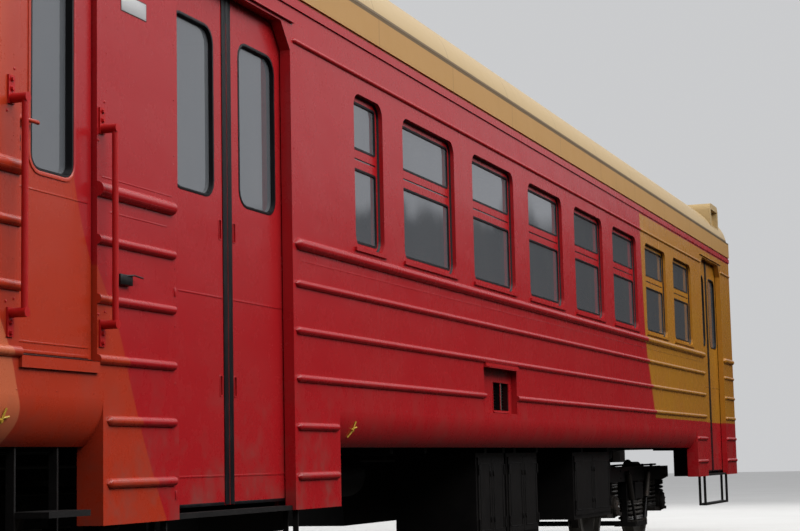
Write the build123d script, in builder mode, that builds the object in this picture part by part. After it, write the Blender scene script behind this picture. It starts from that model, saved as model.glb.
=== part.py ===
from build123d import *
import math
import os

os.makedirs("parts", exist_ok=True)

# Cab trailer of a suburban electric multiple unit, in millimetres.
# +X points to the cab end, +Y to the left side, and z = 0 is the level of the flange tips.

# Car body
BODY_HALF = 9800  # from the middle to either end of the body
WALL_Y = 1740  # outer face of the side wall
WALL_T = 130  # skin, leaf pocket and lining together
SKIN_T = 62
LINING_T = 17
BODY_BOTTOM = 1128
TURN_TOP = 1330  # the wall turns under below this height
TURN_R = 258
FLOOR_BOTTOM = 1343
FLOOR_TOP = 1423
CANT_BOTTOM = 3460
CANT_TOP = 3640
CEILING_Z = 3600
CEILING_T = 14
INNER_Y = WALL_Y - WALL_T
POCKET_OUT = WALL_Y - SKIN_T
POCKET_IN = INNER_Y + LINING_T

# Roof
FASCIA_Y = 1752
FASCIA_TOP = 3836
GROOVE_Y = 1714
SHOULDER_Y = 1722
SHOULDER_Z = 3860
SHOULDER_R = 420
SHOULDER_LEAN = 8  # degrees from upright where the shoulder starts
ROOF_TOP = 4281
ROOF_T = 55
ROOF_END_R = 320  # rounding of the roof at the rear end
ROOF_RIB_PITCH = 260
ROOF_RIB_W = 30
ROOF_RIB_H = 12
ROOF_RIB_SIDE = 4  # corrugations either side of the middle one
ROOF_INTAKES = (-9150, 5800)
ROOF_INTAKE_W = 560
ROOF_INTAKE_Y = (1150, 1690)
ROOF_INTAKE_Z = (3930, 4275)
ROOF_INTAKE_R = 90
ROOF_SLOT_W = 420
ROOF_SLOT_DEPTH = 60
ROOF_SLOT_Z = (3990, 4200)

# Cab nose
NOSE_START = 8600
NOSE_T = 60
NOSE_SIDE = 280  # straight stretch before the corner
NOSE_CORNER_R = 600
NOSE_BELT = 2250  # the front slopes back above this height
NOSE_SLOPE = 450 / 1400
NOSE_DOME_R = 700
DOME_CLEAR = 3  # the dome stands this far off the leaning front and the crown
NOSE_OVER = 20  # how far the roof section reaches past the nose's sides and foot
SCREEN_Y = (90, 1330)
SCREEN_Z = (2330, 3270)
SCREEN_R = 120
SCREEN_DEPTH = 25
SCREEN_FROM = 8900  # everything ahead of here is the front wall of the nose
HEAD_LAMP_Z = 3690
HEAD_LAMP_R = 200
MARKER_Y = 1120
MARKER_Z = 1880
MARKER_R = 95
LAMP_RIM = 24  # width of the rim round a lamp opening
HEAD_RIM_X = 9450  # front face of the head lamp's rim
MARKER_RIM_X = 9650
NOSE_BAND_BEVEL = 0.7

# Passenger doorways
FRONT_DOORWAY = 5075
REAR_DOORWAY = -8425
DOOR_HALF = 665  # half of the opening
LEAF_W = 680
LEAF_T = 35
LEAF_DEPTH = 70  # from the wall's face to the leaf's face
LEAF_BOTTOM = 840
LEAF_TOP = 3520
LEAF_SEAM = 3
LEAF_TRAVEL = 600
LEAF_WINDOW = (150, 590)  # from the seam
LEAF_WINDOW_Z = (2385, 3255)
LEAF_WINDOW_R = 85
LEAF_REBATE = 12
POCKET_CLEAR = 7
SEAM_EDGE_W = 48  # raised edge of a leaf at the seam
SEAM_EDGE_OUT = 3
GRIP_X = (70, 92)  # finger grips, from the seam
GRIP_Z = ((1385, 1482), (2180, 2275))
GRIP_DEPTH = 14
CORNER_X = 120  # bevel in the upper corners of a doorway
CORNER_Z = 140
CORNER_ROOT = 10
RAIL_DEPTH = (82, 92)
RAIL_BOTTOM = 3490
RAIL_TOP = 3560
RAIL_GAP = 0.3
RAIL_REACH = 1350

# Low boxes beside the doorways, which the leaves slide into
BOX_BOTTOM = 790
BOX_FLOOR = 20
BOX_REACH = 1300  # from the middle of the doorway
BOX_REACH_FRONT = 1355

# Service door beside the cab
SERVICE_X = (6480, 7080)
SERVICE_Z = (1490, 3400)
SERVICE_GAP = 9
DOOR_GAP = 6
THRESHOLD_T = 50
SERVICE_DEPTH = (25, 70)
SERVICE_WINDOW_X = (110, 430)  # from the hinge edge
SERVICE_WINDOW_Z = (2265, 3150)
SERVICE_WINDOW_R = 60

# Hinges of the swinging doors
HINGE_IN = 10  # from the door's hinge edge
HINGE_OFF = 16  # from the door's inner face
HINGE_SHARES = (0.12, 0.5, 0.88)  # of the door's height
BARREL_R = 10
PIN_R = 4
PIN_GAP = 0.3
BARREL_L = 60
EAR_L = 30

# Side windows
WINDOW_PITCH = 1450
WINDOW_FIRST = 2120
WINDOW_COUNT = 7
WINDOW_W = 1040
WINDOW_Z = (2320, 3270)
WINDOW_R = 90
NARROW_X = 3240
NARROW_W = 480
CAB_WINDOW_X = 7850
CAB_WINDOW_W = 860
WINDOW_LIP = 38  # depth of skin in front of the frame
REBATE = 30
FRAME_T = 37
FRAME_BAR = 42
SASH_Z = (2815, 2940)  # bar between the lower pane and the upper one
SASH_GROOVE = (12, 7)  # height and depth of the groove where its two rails meet
GLASS_T = 6
GLASS_EDGE = 10
PANE_REBATE = 15
SILL_SIDE = 20
GLASS_DEPTH = 45
SILL_H = 22
SILL_OUT = 15

# Pressed ribs of the side wall, from the bottom up
RIB_H = 42
RIB_OUT = 20
RIB_CREST = 0.45  # the crest's share of the rib's height
RIB_ROOT = 1
BELT_H = 65
BELT_OUT = 30
TOP_RIB_H = 28
TOP_RIB_OUT = 14
BOX_RIB_Z = (968, 1238)
LOW_RIB_Z = 1501
MID_RIB_Z = (1763, 2022)
BELT_Z = 2243
TOP_RIB_Z = 3383
WALL_RIBS = (
    # height on the wall, height of the rib, how far it stands out
    (LOW_RIB_Z, RIB_H, RIB_OUT),
    (MID_RIB_Z[0], RIB_H, RIB_OUT),
    (MID_RIB_Z[1], RIB_H, RIB_OUT),
    (BELT_Z, BELT_H, BELT_OUT),
    (TOP_RIB_Z, TOP_RIB_H, TOP_RIB_OUT),
)
BAND_Z = (3570, 3620)
BAND_OUT = 10
RIB_MARGIN = 30

# Air intake in the left and right wall
INTAKE_X = (210, 1030)
INTAKE_Z = (1380, 1720)
INTAKE_MOUTH_X = (300, 690)
INTAKE_MOUTH_Z = (1405, 1612)
INTAKE_DEPTH = 44
INTAKE_MOUTH_DEPTH = 105
INTAKE_BAR_W = 26

# Rear end
END_T = 80
GANGWAY_Y = 550
GANGWAY_TOP = 3480
GANGWAY_OUT = 250
END_DOOR_Y = 370
END_DOOR_Z = (1423, 3423)
END_DOOR_DEPTH = (20, 60)
END_LIGHT = (2300, 3150)
END_LIGHT_HALF = 190

GANGWAY_FOLDS = 4
GANGWAY_FOLD_T = GANGWAY_OUT / (2 * GANGWAY_FOLDS + 1)
GANGWAY_FOLD_DEPTH = 35
GANGWAY_WALL = 90

# Underframe
SILL_Y = (1480, 1600)
SILL_FRONT = 9100
CENTRE_BEAM_Y = (250, 350)
CROSS_T = 90
CROSS_BOTTOM = 1220
CROSS_X = (-5600, -4300, -3000, -1700, -400, 900, 2200, 3500, 7900)
FRONT_HEADSTOCK_X = (9250, 9400)
FRONT_HEADSTOCK_Y = 1250
REAR_HEADSTOCK_L = 240
BOGIE_X = 6650
BODY_BOLSTER_HALF = 250
PIVOT_R = 60
PIVOT_L = 150
PAD_X = 4300
PAD_SIZE = (200, 120, 20)

# Couplers and draft boxes
COUPLER_Z = 1088
COUPLER_REACH = 10050  # the coupling plane at either end
COUPLER_HEAD_X = 9830
COUPLER_HEAD_H = 240
COUPLER_ROUND = 12
COUPLER_OUTLINE = (
    # x from the coupling plane, y; the large claw is on the left, the small one on the right
    (-250, -75),
    (-150, -150),
    (-20, -190),
    (60, -170),
    (70, -110),
    (0, -80),
    (-70, -40),
    (-90, 70),
    (-20, 110),
    (75, 120),
    (75, 230),
    (-40, 235),
    (-150, 160),
    (-250, 75),
)
SHANK_W = 130
SHANK_H = 130
SHANK_CLEAR = 20
SKIRT_GAP_Y = 330  # half of the cut-out for the coupler in the nose
SKIRT_GAP_TOP = 1245
DRAFT_X = (8700, 9350)
DRAFT_Y = 160
DRAFT_T = 15

# Plough
PLOUGH_TIP_X = 9700
PLOUGH_WING_X = 9050
PLOUGH_WING_Y = 1250
PLOUGH_T = 14
PLOUGH_Z = (190, 760)
PLOUGH_ARM_Y = 420
PLOUGH_ARM_H = 120
PLOUGH_RIBS = (250, 700)  # heights of the stiffening ribs across its face
PLOUGH_RIB_H = 40
PLOUGH_RIB_OUT = 18

# Steps
WELL_Y = 1080
WELL_PLATE = 10
LOW_TREAD_Y = 1330
HIGH_TREAD_Z = 1130
TREAD_T = 25
SILL_INSET = 20
HUNG_STEP_HALF = 745
HUNG_STEP_Z = 465
HUNG_STEP_T = 25
HANGER_Y = (1640, 1700)
HANGER_W = 30
HANGER_T = 12
LADDER_X = 6780
LADDER_HALF = 160
LADDER_Y = (1592, 1632)
LADDER_RUNGS = (350, 600, 840)
LADDER_DEPTHS = (150, 150, 200)

# Inside
PARTITION_X = (-7435, 3700, 6435, 7130)
PARTITION_T = 35
PASSAGE_Y = 380
PASSAGE_TOP = 3400
AISLE_Y = 320
BENCH_X = (2845, 1395, -55, -1505, -2955, -4405, -5855)
BENCH_WALLS = (
    # face of the partition, way that the seat faces
    (PARTITION_X[1], -1),
    (PARTITION_X[0] + PARTITION_T, 1),
)
BENCH_BACK_TOP = 35
BENCH_BACK_H = 900
BENCH_BACK_FOOT = 95
BENCH_SEAT_H = 430
BENCH_TILT = 20
BENCH_SEAT_T = 80
BENCH_REACH = 510
BENCH_LEG = 60
DESK_OUTLINE = (
    # x, z above the floor
    (8900, 0),
    (9350, 0),
    (9350, 760),
    (9200, 880),
    (8780, 760),
    (8780, 700),
    (8900, 660),
)
DESK_Y = 1050
CAB_SEAT_X = 8200
CAB_SEAT_Y = 700
CAB_SEAT_H = 400
CAB_SEAT_HALF = 230
CAB_POST_R = 60
CAB_SEAT_OUTLINE = (
    # x from the post, z above the floor
    (-230, 400),
    (250, 400),
    (250, 490),
    (-150, 480),
    (-230, 1060),
    (-310, 1060),
)

# Handrails
HANDRAIL_X = (6445, 7150)
HANDRAIL_Z = (1650, 2510)
HANDRAIL_OUT = 70
HANDRAIL_R = 14
HANDRAIL_FOOT_R = 20
RAIL_PLATE_W = 44  # plates that the handrails are bolted on with
RAIL_PLATE_T = 8
RAIL_PLATE_REACH = 95
RAIL_PLATE_BACK = 22

# Lamps
LAMP_L = 260
LAMP_SUNK = 12  # how far a lamp's glass lies behind the face of its rim
TAIL_Y = 1250
TAIL_Z = 3330
TAIL_R = 70
TAIL_OUT = 45

# Under the floor
CABINET_HANGER = 38
CABINET_BAR_W = 60
CABINET_DOOR_T = 10
CABINET_DOOR_INSET = 35
CABINET_DOOR_GAP = 10
CABINETS = (
    # rear, front, right, left, bottom
    (-180, 550, 850, 1500, 420),
    (-1120, -230, 850, 1500, 420),
    (-3700, -2300, 900, 1500, 480),
    (-1120, 550, -1500, -850, 450),
    (1300, 2600, -1500, -900, 480),
    (-4100, -2500, -1500, -850, 430),
)
CABINET_BARS = (
    # x, side
    (-50, 1),
    (420, 1),
    (-1000, 1),
    (-350, 1),
    (-3500, 1),
    (-2500, 1),
    (-1000, -1),
    (420, -1),
    (1450, -1),
    (2450, -1),
    (-3950, -1),
    (-2700, -1),
)
BAR_INNER_Y = 300
BAR_OUTER_Y = 1540
RESERVOIRS = (
    # x, y, radius, length
    (3550, -1150, 170, 1500),
    (2100, 850, 150, 1100),
)
RESERVOIR_DROP = 30
STRAP_SHARE = 0.3
STRAP_T = 50
STRAP_W = 60
PIPE_REACH = 9990
PIPE_Y = -620
PIPE_Z = 1060
PIPE_R = 21
PIPE_END = 60
COCK_L = 110
COCK_W = 70
PIPE_END_CLIPS = (-9680, 9325)

# Wheels and bogies
WHEELBASE_HALF = 1200
TREAD_R = 475
FLANGE_R = 503
FLANGE_T = 32
WHEEL_Y = (720, 850)
AXLE_R = 80
HUB_R = 130
HUB_OUT = 30
RIM_T = 70
WEB_T = 24
JOURNAL_R = 65
JOURNAL_GAP = 0.3
JOURNAL_END = 1090
BOX_Y = (918, 1118)
SIDE_BEAM_Y = (943, 1093)
SIDE_BEAM_Z = (760, 920)
FRAME_HALF = 1830
TRANSOM_X = (290, 430)
TRANSOM_Z = (755, 925)
PRIMARY_OFF = 235
PRIMARY_R = 90
PRIMARY_BOTTOM = 430
BOLSTER_HALF = 200
BOLSTER_Y = 1130
BOLSTER_Z = (560, 750)
CENTRE_PLATE_R = 190
CENTRE_GAP = 0.3
SECONDARY_R = 110
SECONDARY_X = 150
PLANK_Z = (250, 300)
SHOE_GAP = 6
SHOE_T = 49
SHOE_Y = (765, 840)
SHOE_ARC = 19  # degrees either side of the shoe's middle
SHOE_TILT = 4  # degrees below the axle's level
SHOE_SEAT = 8  # how far the hangers reach into the shoes
BRAKE_BEAM_H = 60
HANGER_ROD = 50
HANGER_AT_Y = 800
BRACKET_Z = (780, 840)
INNER_HANGER_X = (590, 670)
BEAM_RISE = 25
BEAM_SEAT = 340
END_BEAM_W = 90
END_BEAM_TOP = 900
GUIDE_OFF = 135
GUIDE_T = 14
GUIDE_INSET = 30
GUIDE_BOTTOM = 500
BOX_R = 125
BOX_HALF = 105
BOX_COVER = 25
COVER_R = 110
WING_T = 35
WING_REACH = 335
BOLSTER_KNEE_Y = 900
BOLSTER_HIP_Y = 420
BOLSTER_TOP = 1040
PIVOT_FOOT = 10
SECONDARY_Y = 1018
PLANK_HALF = 125
PLANK_X = 300
PLANK_TIE = 90
LINK_T = 30
LINK_W = 60


def block(x, y, z, mode=Mode.ADD):
    """Box between its low and high faces on each axis."""
    with Locations(((x[0] + x[1]) / 2, (y[0] + y[1]) / 2, (z[0] + z[1]) / 2)):
        Box(x[1] - x[0], y[1] - y[0], z[1] - z[0], mode=mode)


def bar(start, end, radius, mode=Mode.ADD):
    """Round bar between two points."""
    axis = Vector(*end) - Vector(*start)
    with BuildSketch(Plane(origin=start, z_dir=axis)) as disc:
        Circle(radius)
    extrude(disc.sketch, amount=axis.length, mode=mode)


def side_prism(points, y0, y1, mode=Mode.ADD):
    """Prism of an (x, z) outline, from y0 up to y1."""
    with BuildSketch(Plane(origin=(0, y1, 0), x_dir=(1, 0, 0), z_dir=(0, -1, 0))) as outline:
        Polygon(*points, align=None)
    extrude(outline.sketch, amount=y1 - y0, mode=mode)


def cross_prism(points, x0, x1, mode=Mode.ADD):
    """Prism of a (y, z) outline, from x0 up to x1."""
    with BuildSketch(Plane.YZ.offset(x0)) as outline:
        Polygon(*points, align=None)
    extrude(outline.sketch, amount=x1 - x0, mode=mode)


def finish(builder, name):
    """Name the piece and write its file."""
    builder.part.label = name
    export_step(builder.part, f"parts/{name}.step")


def turn_in(height):
    """Outer face of the side wall at a height in its turned-under foot."""
    return WALL_Y - TURN_R + math.sqrt(TURN_R**2 - (TURN_TOP - height) ** 2)


def crown_radius():
    """Radius of the crown that meets the shoulder arc smoothly."""
    lean = math.radians(SHOULDER_LEAN)
    yc = SHOULDER_Y - SHOULDER_R * math.cos(lean)
    drop = ROOF_TOP - (SHOULDER_Z - SHOULDER_R * math.sin(lean))
    return (yc**2 + drop**2 - SHOULDER_R**2) / (2 * (drop - SHOULDER_R))


def roof_face(plane, inset, foot):
    """Roof section on a plane, its skin moved in by inset, above the right foot's (y, z) points."""
    lean = math.radians(SHOULDER_LEAN)
    yc = SHOULDER_Y - SHOULDER_R * math.cos(lean)
    zc = SHOULDER_Z - SHOULDER_R * math.sin(lean)
    crown = crown_radius()
    crown_z = ROOF_TOP - crown
    reach = math.hypot(yc, zc - crown_z)
    unit = (yc / reach, (zc - crown_z) / reach)
    radius = SHOULDER_R - inset
    start = (yc + radius * math.cos(lean), zc + radius * math.sin(lean))
    meet = (unit[0] * (crown - inset), crown_z + unit[1] * (crown - inset))
    half = (math.atan2(unit[1], unit[0]) + lean) / 2
    middle = (yc + radius * math.cos(half), zc + radius * math.sin(half))
    bottom = foot[0][1]
    with BuildSketch(plane) as section:
        with BuildLine():
            Polyline((0, bottom), *foot, start)
            ThreePointArc(start, middle, meet)
            ThreePointArc(meet, (0, ROOF_TOP - inset), (-meet[0], meet[1]))
            ThreePointArc((-meet[0], meet[1]), (-middle[0], middle[1]), (-start[0], start[1]))
            Polyline((-start[0], start[1]), *[(-y, z) for y, z in reversed(foot)], (0, bottom))
        make_face()
    return section.sketch


def wall_face(plane, inner, top):
    """Side wall section on a plane: upright, with its foot turned under."""
    middle_z = (TURN_TOP + BODY_BOTTOM) / 2
    with BuildSketch(plane) as section:
        with BuildLine():
            Polyline((turn_in(BODY_BOTTOM), BODY_BOTTOM), (inner, BODY_BOTTOM), (inner, top))
            Polyline((inner, top), (WALL_Y, top), (WALL_Y, TURN_TOP))
            ThreePointArc(
                (WALL_Y, TURN_TOP),
                (turn_in(middle_z), middle_z),
                (turn_in(BODY_BOTTOM), BODY_BOTTOM),
            )
        make_face()
    return section.sketch


def nose_plan(plane, inset, rear):
    """Outline of the nose seen from above, on a plane, moved in by inset."""
    corner_x = NOSE_START + NOSE_SIDE
    corner_y = WALL_Y - NOSE_CORNER_R
    run = BODY_HALF - corner_x
    front_r = (run**2 + corner_y**2 - NOSE_CORNER_R**2) / (2 * (run - NOSE_CORNER_R))
    front_x = BODY_HALF - front_r
    reach = math.hypot(corner_x - front_x, corner_y)
    unit = ((corner_x - front_x) / reach, corner_y / reach)
    meet = (front_x + unit[0] * (front_r - inset), unit[1] * (front_r - inset))
    half = (math.pi / 2 + math.atan2(unit[1], unit[0])) / 2
    corner_r = NOSE_CORNER_R - inset
    middle = (corner_x + corner_r * math.cos(half), corner_y + corner_r * math.sin(half))
    side = WALL_Y - inset
    with BuildSketch(plane) as plan:
        with BuildLine():
            Polyline((corner_x, -side), (rear, -side), (rear, side), (corner_x, side))
            ThreePointArc((corner_x, side), middle, meet)
            ThreePointArc(meet, (BODY_HALF - inset, 0), (meet[0], -meet[1]))
            ThreePointArc((meet[0], -meet[1]), (middle[0], -middle[1]), (corner_x, -side))
        make_face()
    return plan.sketch


def nose_solid(inset, bottom):
    """Nose form, upright below the belt and leaning back above it, its skin moved in by inset."""
    rise = ROOF_TOP - NOSE_BELT
    lean = math.atan(NOSE_SLOPE)
    over = WALL_Y - inset + NOSE_OVER
    rear = NOSE_START - rise
    slant_x = (math.cos(lean), 0, math.sin(lean))
    slant_start = (BODY_HALF * (1 - slant_x[0]), 0, NOSE_BELT - BODY_HALF * slant_x[2])
    slant = Plane(origin=slant_start, x_dir=slant_x, z_dir=(-slant_x[2], 0, slant_x[0]))
    mitre_x = (math.cos(lean / 2), 0, math.sin(lean / 2))
    mitre_start = (BODY_HALF, 0, NOSE_BELT)
    mitre = Plane(origin=mitre_start, x_dir=mitre_x, z_dir=(-mitre_x[2], 0, mitre_x[0]))
    with BuildPart() as upper:
        extrude(nose_plan(slant, inset, rear), amount=2 * rise, both=True)
        split(bisect_by=mitre, keep=Keep.TOP)
    with BuildPart() as nose:
        extrude(nose_plan(Plane.XY.offset(bottom), inset, rear), amount=NOSE_BELT + rise - bottom)
        split(bisect_by=mitre, keep=Keep.BOTTOM)
        add(upper.part)
        foot = [(over, bottom - NOSE_OVER), (over, FASCIA_TOP)]
        section = roof_face(Plane.YZ.offset(NOSE_START - inset), inset, foot)
        extrude(section, amount=2 * BODY_HALF, mode=Mode.INTERSECT)
        top = ROOF_TOP - inset + DOME_CLEAR
        front = BODY_HALF - inset + DOME_CLEAR
        with BuildSketch(Plane(origin=(0, over, 0), x_dir=(1, 0, 0), z_dir=(0, -1, 0))) as profile:
            Polygon(
                (rear, bottom - NOSE_OVER),
                (front, bottom - NOSE_OVER),
                (front, NOSE_BELT),
                (front - (top - NOSE_BELT) * NOSE_SLOPE, top),
                (rear, top),
                align=None,
            )
            corner = profile.vertices().group_by(Axis.Y)[-1].sort_by(Axis.X)[-1]
            fillet(corner, NOSE_DOME_R - inset)
        extrude(profile.sketch, amount=2 * over, mode=Mode.INTERSECT)
    return nose.part


def left_wall(depth):
    """Plane on the left wall at a depth from its face: local x is X, local y is Z, facing inboard."""
    return Plane(origin=(0, WALL_Y - depth, 0), x_dir=(1, 0, 0), z_dir=(0, -1, 0))


def wall_hole(x, z, radius, depth, thick):
    """Hole in the left wall between x and z limits, from a depth on, with rounded corners."""
    with BuildSketch(left_wall(depth)) as hole:
        with Locations(((x[0] + x[1]) / 2, (z[0] + z[1]) / 2)):
            if radius:
                RectangleRounded(x[1] - x[0], z[1] - z[0], radius)
            else:
                Rectangle(x[1] - x[0], z[1] - z[0])
    extrude(hole.sketch, amount=thick, mode=Mode.SUBTRACT)


def window_hole(centre, width):
    """Window in the left wall: a rounded lip, then a square rebate for the frame."""
    x = (centre - width / 2, centre + width / 2)
    wall_hole(x, WINDOW_Z, WINDOW_R, -RIB_OUT, RIB_OUT + WINDOW_LIP)
    wide = (x[0] - REBATE, x[1] + REBATE)
    high = (WINDOW_Z[0] - REBATE, WINDOW_Z[1] + REBATE)
    wall_hole(wide, high, 0, WINDOW_LIP, WALL_T)


def rib(x0, x1, z, height, proud):
    """Pressed rib on the left wall, with pointed ends and sloping flanks."""
    half = height / 2
    low = half * RIB_CREST
    with BuildSketch(left_wall(RIB_ROOT)) as base:
        Polygon(
            (x0, z),
            (x0 + half, z - half),
            (x1 - half, z - half),
            (x1, z),
            (x1 - half, z + half),
            (x0 + half, z + half),
            align=None,
        )
    with BuildSketch(left_wall(-proud)) as crest:
        Polygon(
            (x0 + half, z),
            (x0 + height, z - low),
            (x1 - height, z - low),
            (x1 - half, z),
            (x1 - height, z + low),
            (x0 + height, z + low),
            align=None,
        )
    loft([base.sketch, crest.sketch])


def swing_door(plane, width, height, thick, window_x, window_z):
    """Hinged door: x runs from its hinge edge, y through its thickness, z up."""
    with BuildPart() as door:
        with BuildSketch(plane) as slab:
            Rectangle(width, thick, align=Align.MIN)
        extrude(slab.sketch, amount=height)
        face = Plane(origin=plane.origin, x_dir=plane.x_dir, z_dir=plane.y_dir)
        with BuildSketch(face.offset(-1)) as light:
            with Locations((sum(window_x) / 2, -sum(window_z) / 2)):
                RectangleRounded(window_x[1] - window_x[0], window_z[1] - window_z[0], SERVICE_WINDOW_R)
        extrude(light.sketch, amount=thick + 2, mode=Mode.SUBTRACT)
        with BuildSketch(face.offset(thick - PANE_REBATE)) as rebate:
            with Locations((sum(window_x) / 2, -sum(window_z) / 2)):
                RectangleRounded(
                    window_x[1] - window_x[0] + 2 * LEAF_REBATE,
                    window_z[1] - window_z[0] + 2 * LEAF_REBATE,
                    SERVICE_WINDOW_R + LEAF_REBATE,
                )
        extrude(rebate.sketch, amount=PANE_REBATE + 1, mode=Mode.SUBTRACT)
        for share in HINGE_SHARES:
            at = plane.offset(share * height - BARREL_L / 2)
            with BuildSketch(at) as barrel:
                with Locations((HINGE_IN, thick + HINGE_OFF)):
                    Circle(BARREL_R)
                with Locations((HINGE_IN, thick + HINGE_OFF / 2)):
                    Rectangle(BARREL_R, HINGE_OFF)
                with Locations((HINGE_IN, thick + HINGE_OFF)):
                    Circle(PIN_R + PIN_GAP, mode=Mode.SUBTRACT)
            extrude(barrel.sketch, amount=BARREL_L)
    return door.part


def swing_pane(plane, thick, window_x, window_z):
    """Pane of a hinged door, in the rebate on its inner face."""
    face = Plane(origin=plane.origin, x_dir=plane.x_dir, z_dir=plane.y_dir)
    with BuildPart() as pane:
        with BuildSketch(face.offset(thick - PANE_REBATE)) as outline:
            with Locations((sum(window_x) / 2, -sum(window_z) / 2)):
                RectangleRounded(
                    window_x[1] - window_x[0] + 2 * LEAF_REBATE,
                    window_z[1] - window_z[0] + 2 * LEAF_REBATE,
                    SERVICE_WINDOW_R + LEAF_REBATE,
                )
        extrude(outline.sketch, amount=GLASS_T)
    return pane.part


def hinge_ears(plane, height, thick, jamb):
    """Ears and pins of a hinged door, fixed to the jamb this far behind its hinge edge."""
    for share in HINGE_SHARES:
        low = share * height - BARREL_L / 2
        for start in (low - PIN_GAP - EAR_L, low + BARREL_L + PIN_GAP):
            with BuildSketch(plane.offset(start)) as ear:
                with Locations((HINGE_IN, thick + HINGE_OFF)):
                    Circle(BARREL_R)
                with Locations(((HINGE_IN - jamb - 1) / 2, thick + HINGE_OFF)):
                    Rectangle(HINGE_IN + jamb + 1, BARREL_R)
            extrude(ear.sketch, amount=EAR_L)
        with BuildSketch(plane.offset(low - PIN_GAP)) as pin:
            with Locations((HINGE_IN, thick + HINGE_OFF)):
                Circle(PIN_R)
        extrude(pin.sketch, amount=BARREL_L + 2 * PIN_GAP)


def nose_band(z, height, proud):
    """Rib carried round the upright part of the nose."""
    with BuildPart() as band:
        extrude(nose_plan(Plane.XY.offset(z - height / 2), -proud, NOSE_START), amount=height)
        rims = band.faces().filter_by(Axis.Z).edges()
        chamfer(rims.filter_by(lambda edge: edge.center().X > NOSE_START + 1), proud * NOSE_BAND_BEVEL)
    return band.part


DOORWAYS = (FRONT_DOORWAY, REAR_DOORWAY)
SIDE_SPANS = (
    # rear end, front end
    (FRONT_DOORWAY + DOOR_HALF, NOSE_START),
    (REAR_DOORWAY + DOOR_HALF, FRONT_DOORWAY - DOOR_HALF),
    (-BODY_HALF, REAR_DOORWAY - DOOR_HALF),
)
BOX_SPANS = (
    # rear end, front end
    (FRONT_DOORWAY + DOOR_HALF, FRONT_DOORWAY + BOX_REACH_FRONT),
    (FRONT_DOORWAY - BOX_REACH, FRONT_DOORWAY - DOOR_HALF),
    (REAR_DOORWAY + DOOR_HALF, REAR_DOORWAY + BOX_REACH),
    (-BODY_HALF, REAR_DOORWAY - DOOR_HALF),
)
SIDE_WINDOWS = [(WINDOW_FIRST - i * WINDOW_PITCH, WINDOW_W) for i in range(WINDOW_COUNT)]
SIDE_WINDOWS += [(NARROW_X, NARROW_W), (CAB_WINDOW_X, CAB_WINDOW_W)]
POCKET_REACH = LEAF_SEAM + LEAF_TRAVEL + LEAF_W + POCKET_CLEAR
SERVICE_W = SERVICE_X[1] - SERVICE_X[0] - 2 * SERVICE_GAP
SERVICE_T = SERVICE_DEPTH[1] - SERVICE_DEPTH[0]
SERVICE_H = SERVICE_Z[1] - SERVICE_Z[0] - 2 * DOOR_GAP
SERVICE_PLANE = Plane(
    origin=(SERVICE_X[1] - SERVICE_GAP, WALL_Y - SERVICE_DEPTH[0], SERVICE_Z[0] + DOOR_GAP),
    x_dir=(-1, 0, 0),
    z_dir=(0, 0, 1),
)
SERVICE_LIGHT_Z = tuple(z - SERVICE_Z[0] - DOOR_GAP for z in SERVICE_WINDOW_Z)
END_W = 2 * (END_DOOR_Y - SERVICE_GAP)
END_THICK = END_DOOR_DEPTH[1] - END_DOOR_DEPTH[0]
END_H = END_DOOR_Z[1] - END_DOOR_Z[0] - 2 * DOOR_GAP
END_PLANE = Plane(
    origin=(-BODY_HALF + END_DOOR_DEPTH[0], END_W / 2, END_DOOR_Z[0] + DOOR_GAP),
    x_dir=(0, -1, 0),
    z_dir=(0, 0, 1),
)
END_LIGHT_X = (END_W / 2 - END_LIGHT_HALF, END_W / 2 + END_LIGHT_HALF)
END_LIGHT_Z = (END_LIGHT[0] - END_DOOR_Z[0] - DOOR_GAP, END_LIGHT[1] - END_DOOR_Z[0] - DOOR_GAP)


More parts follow.
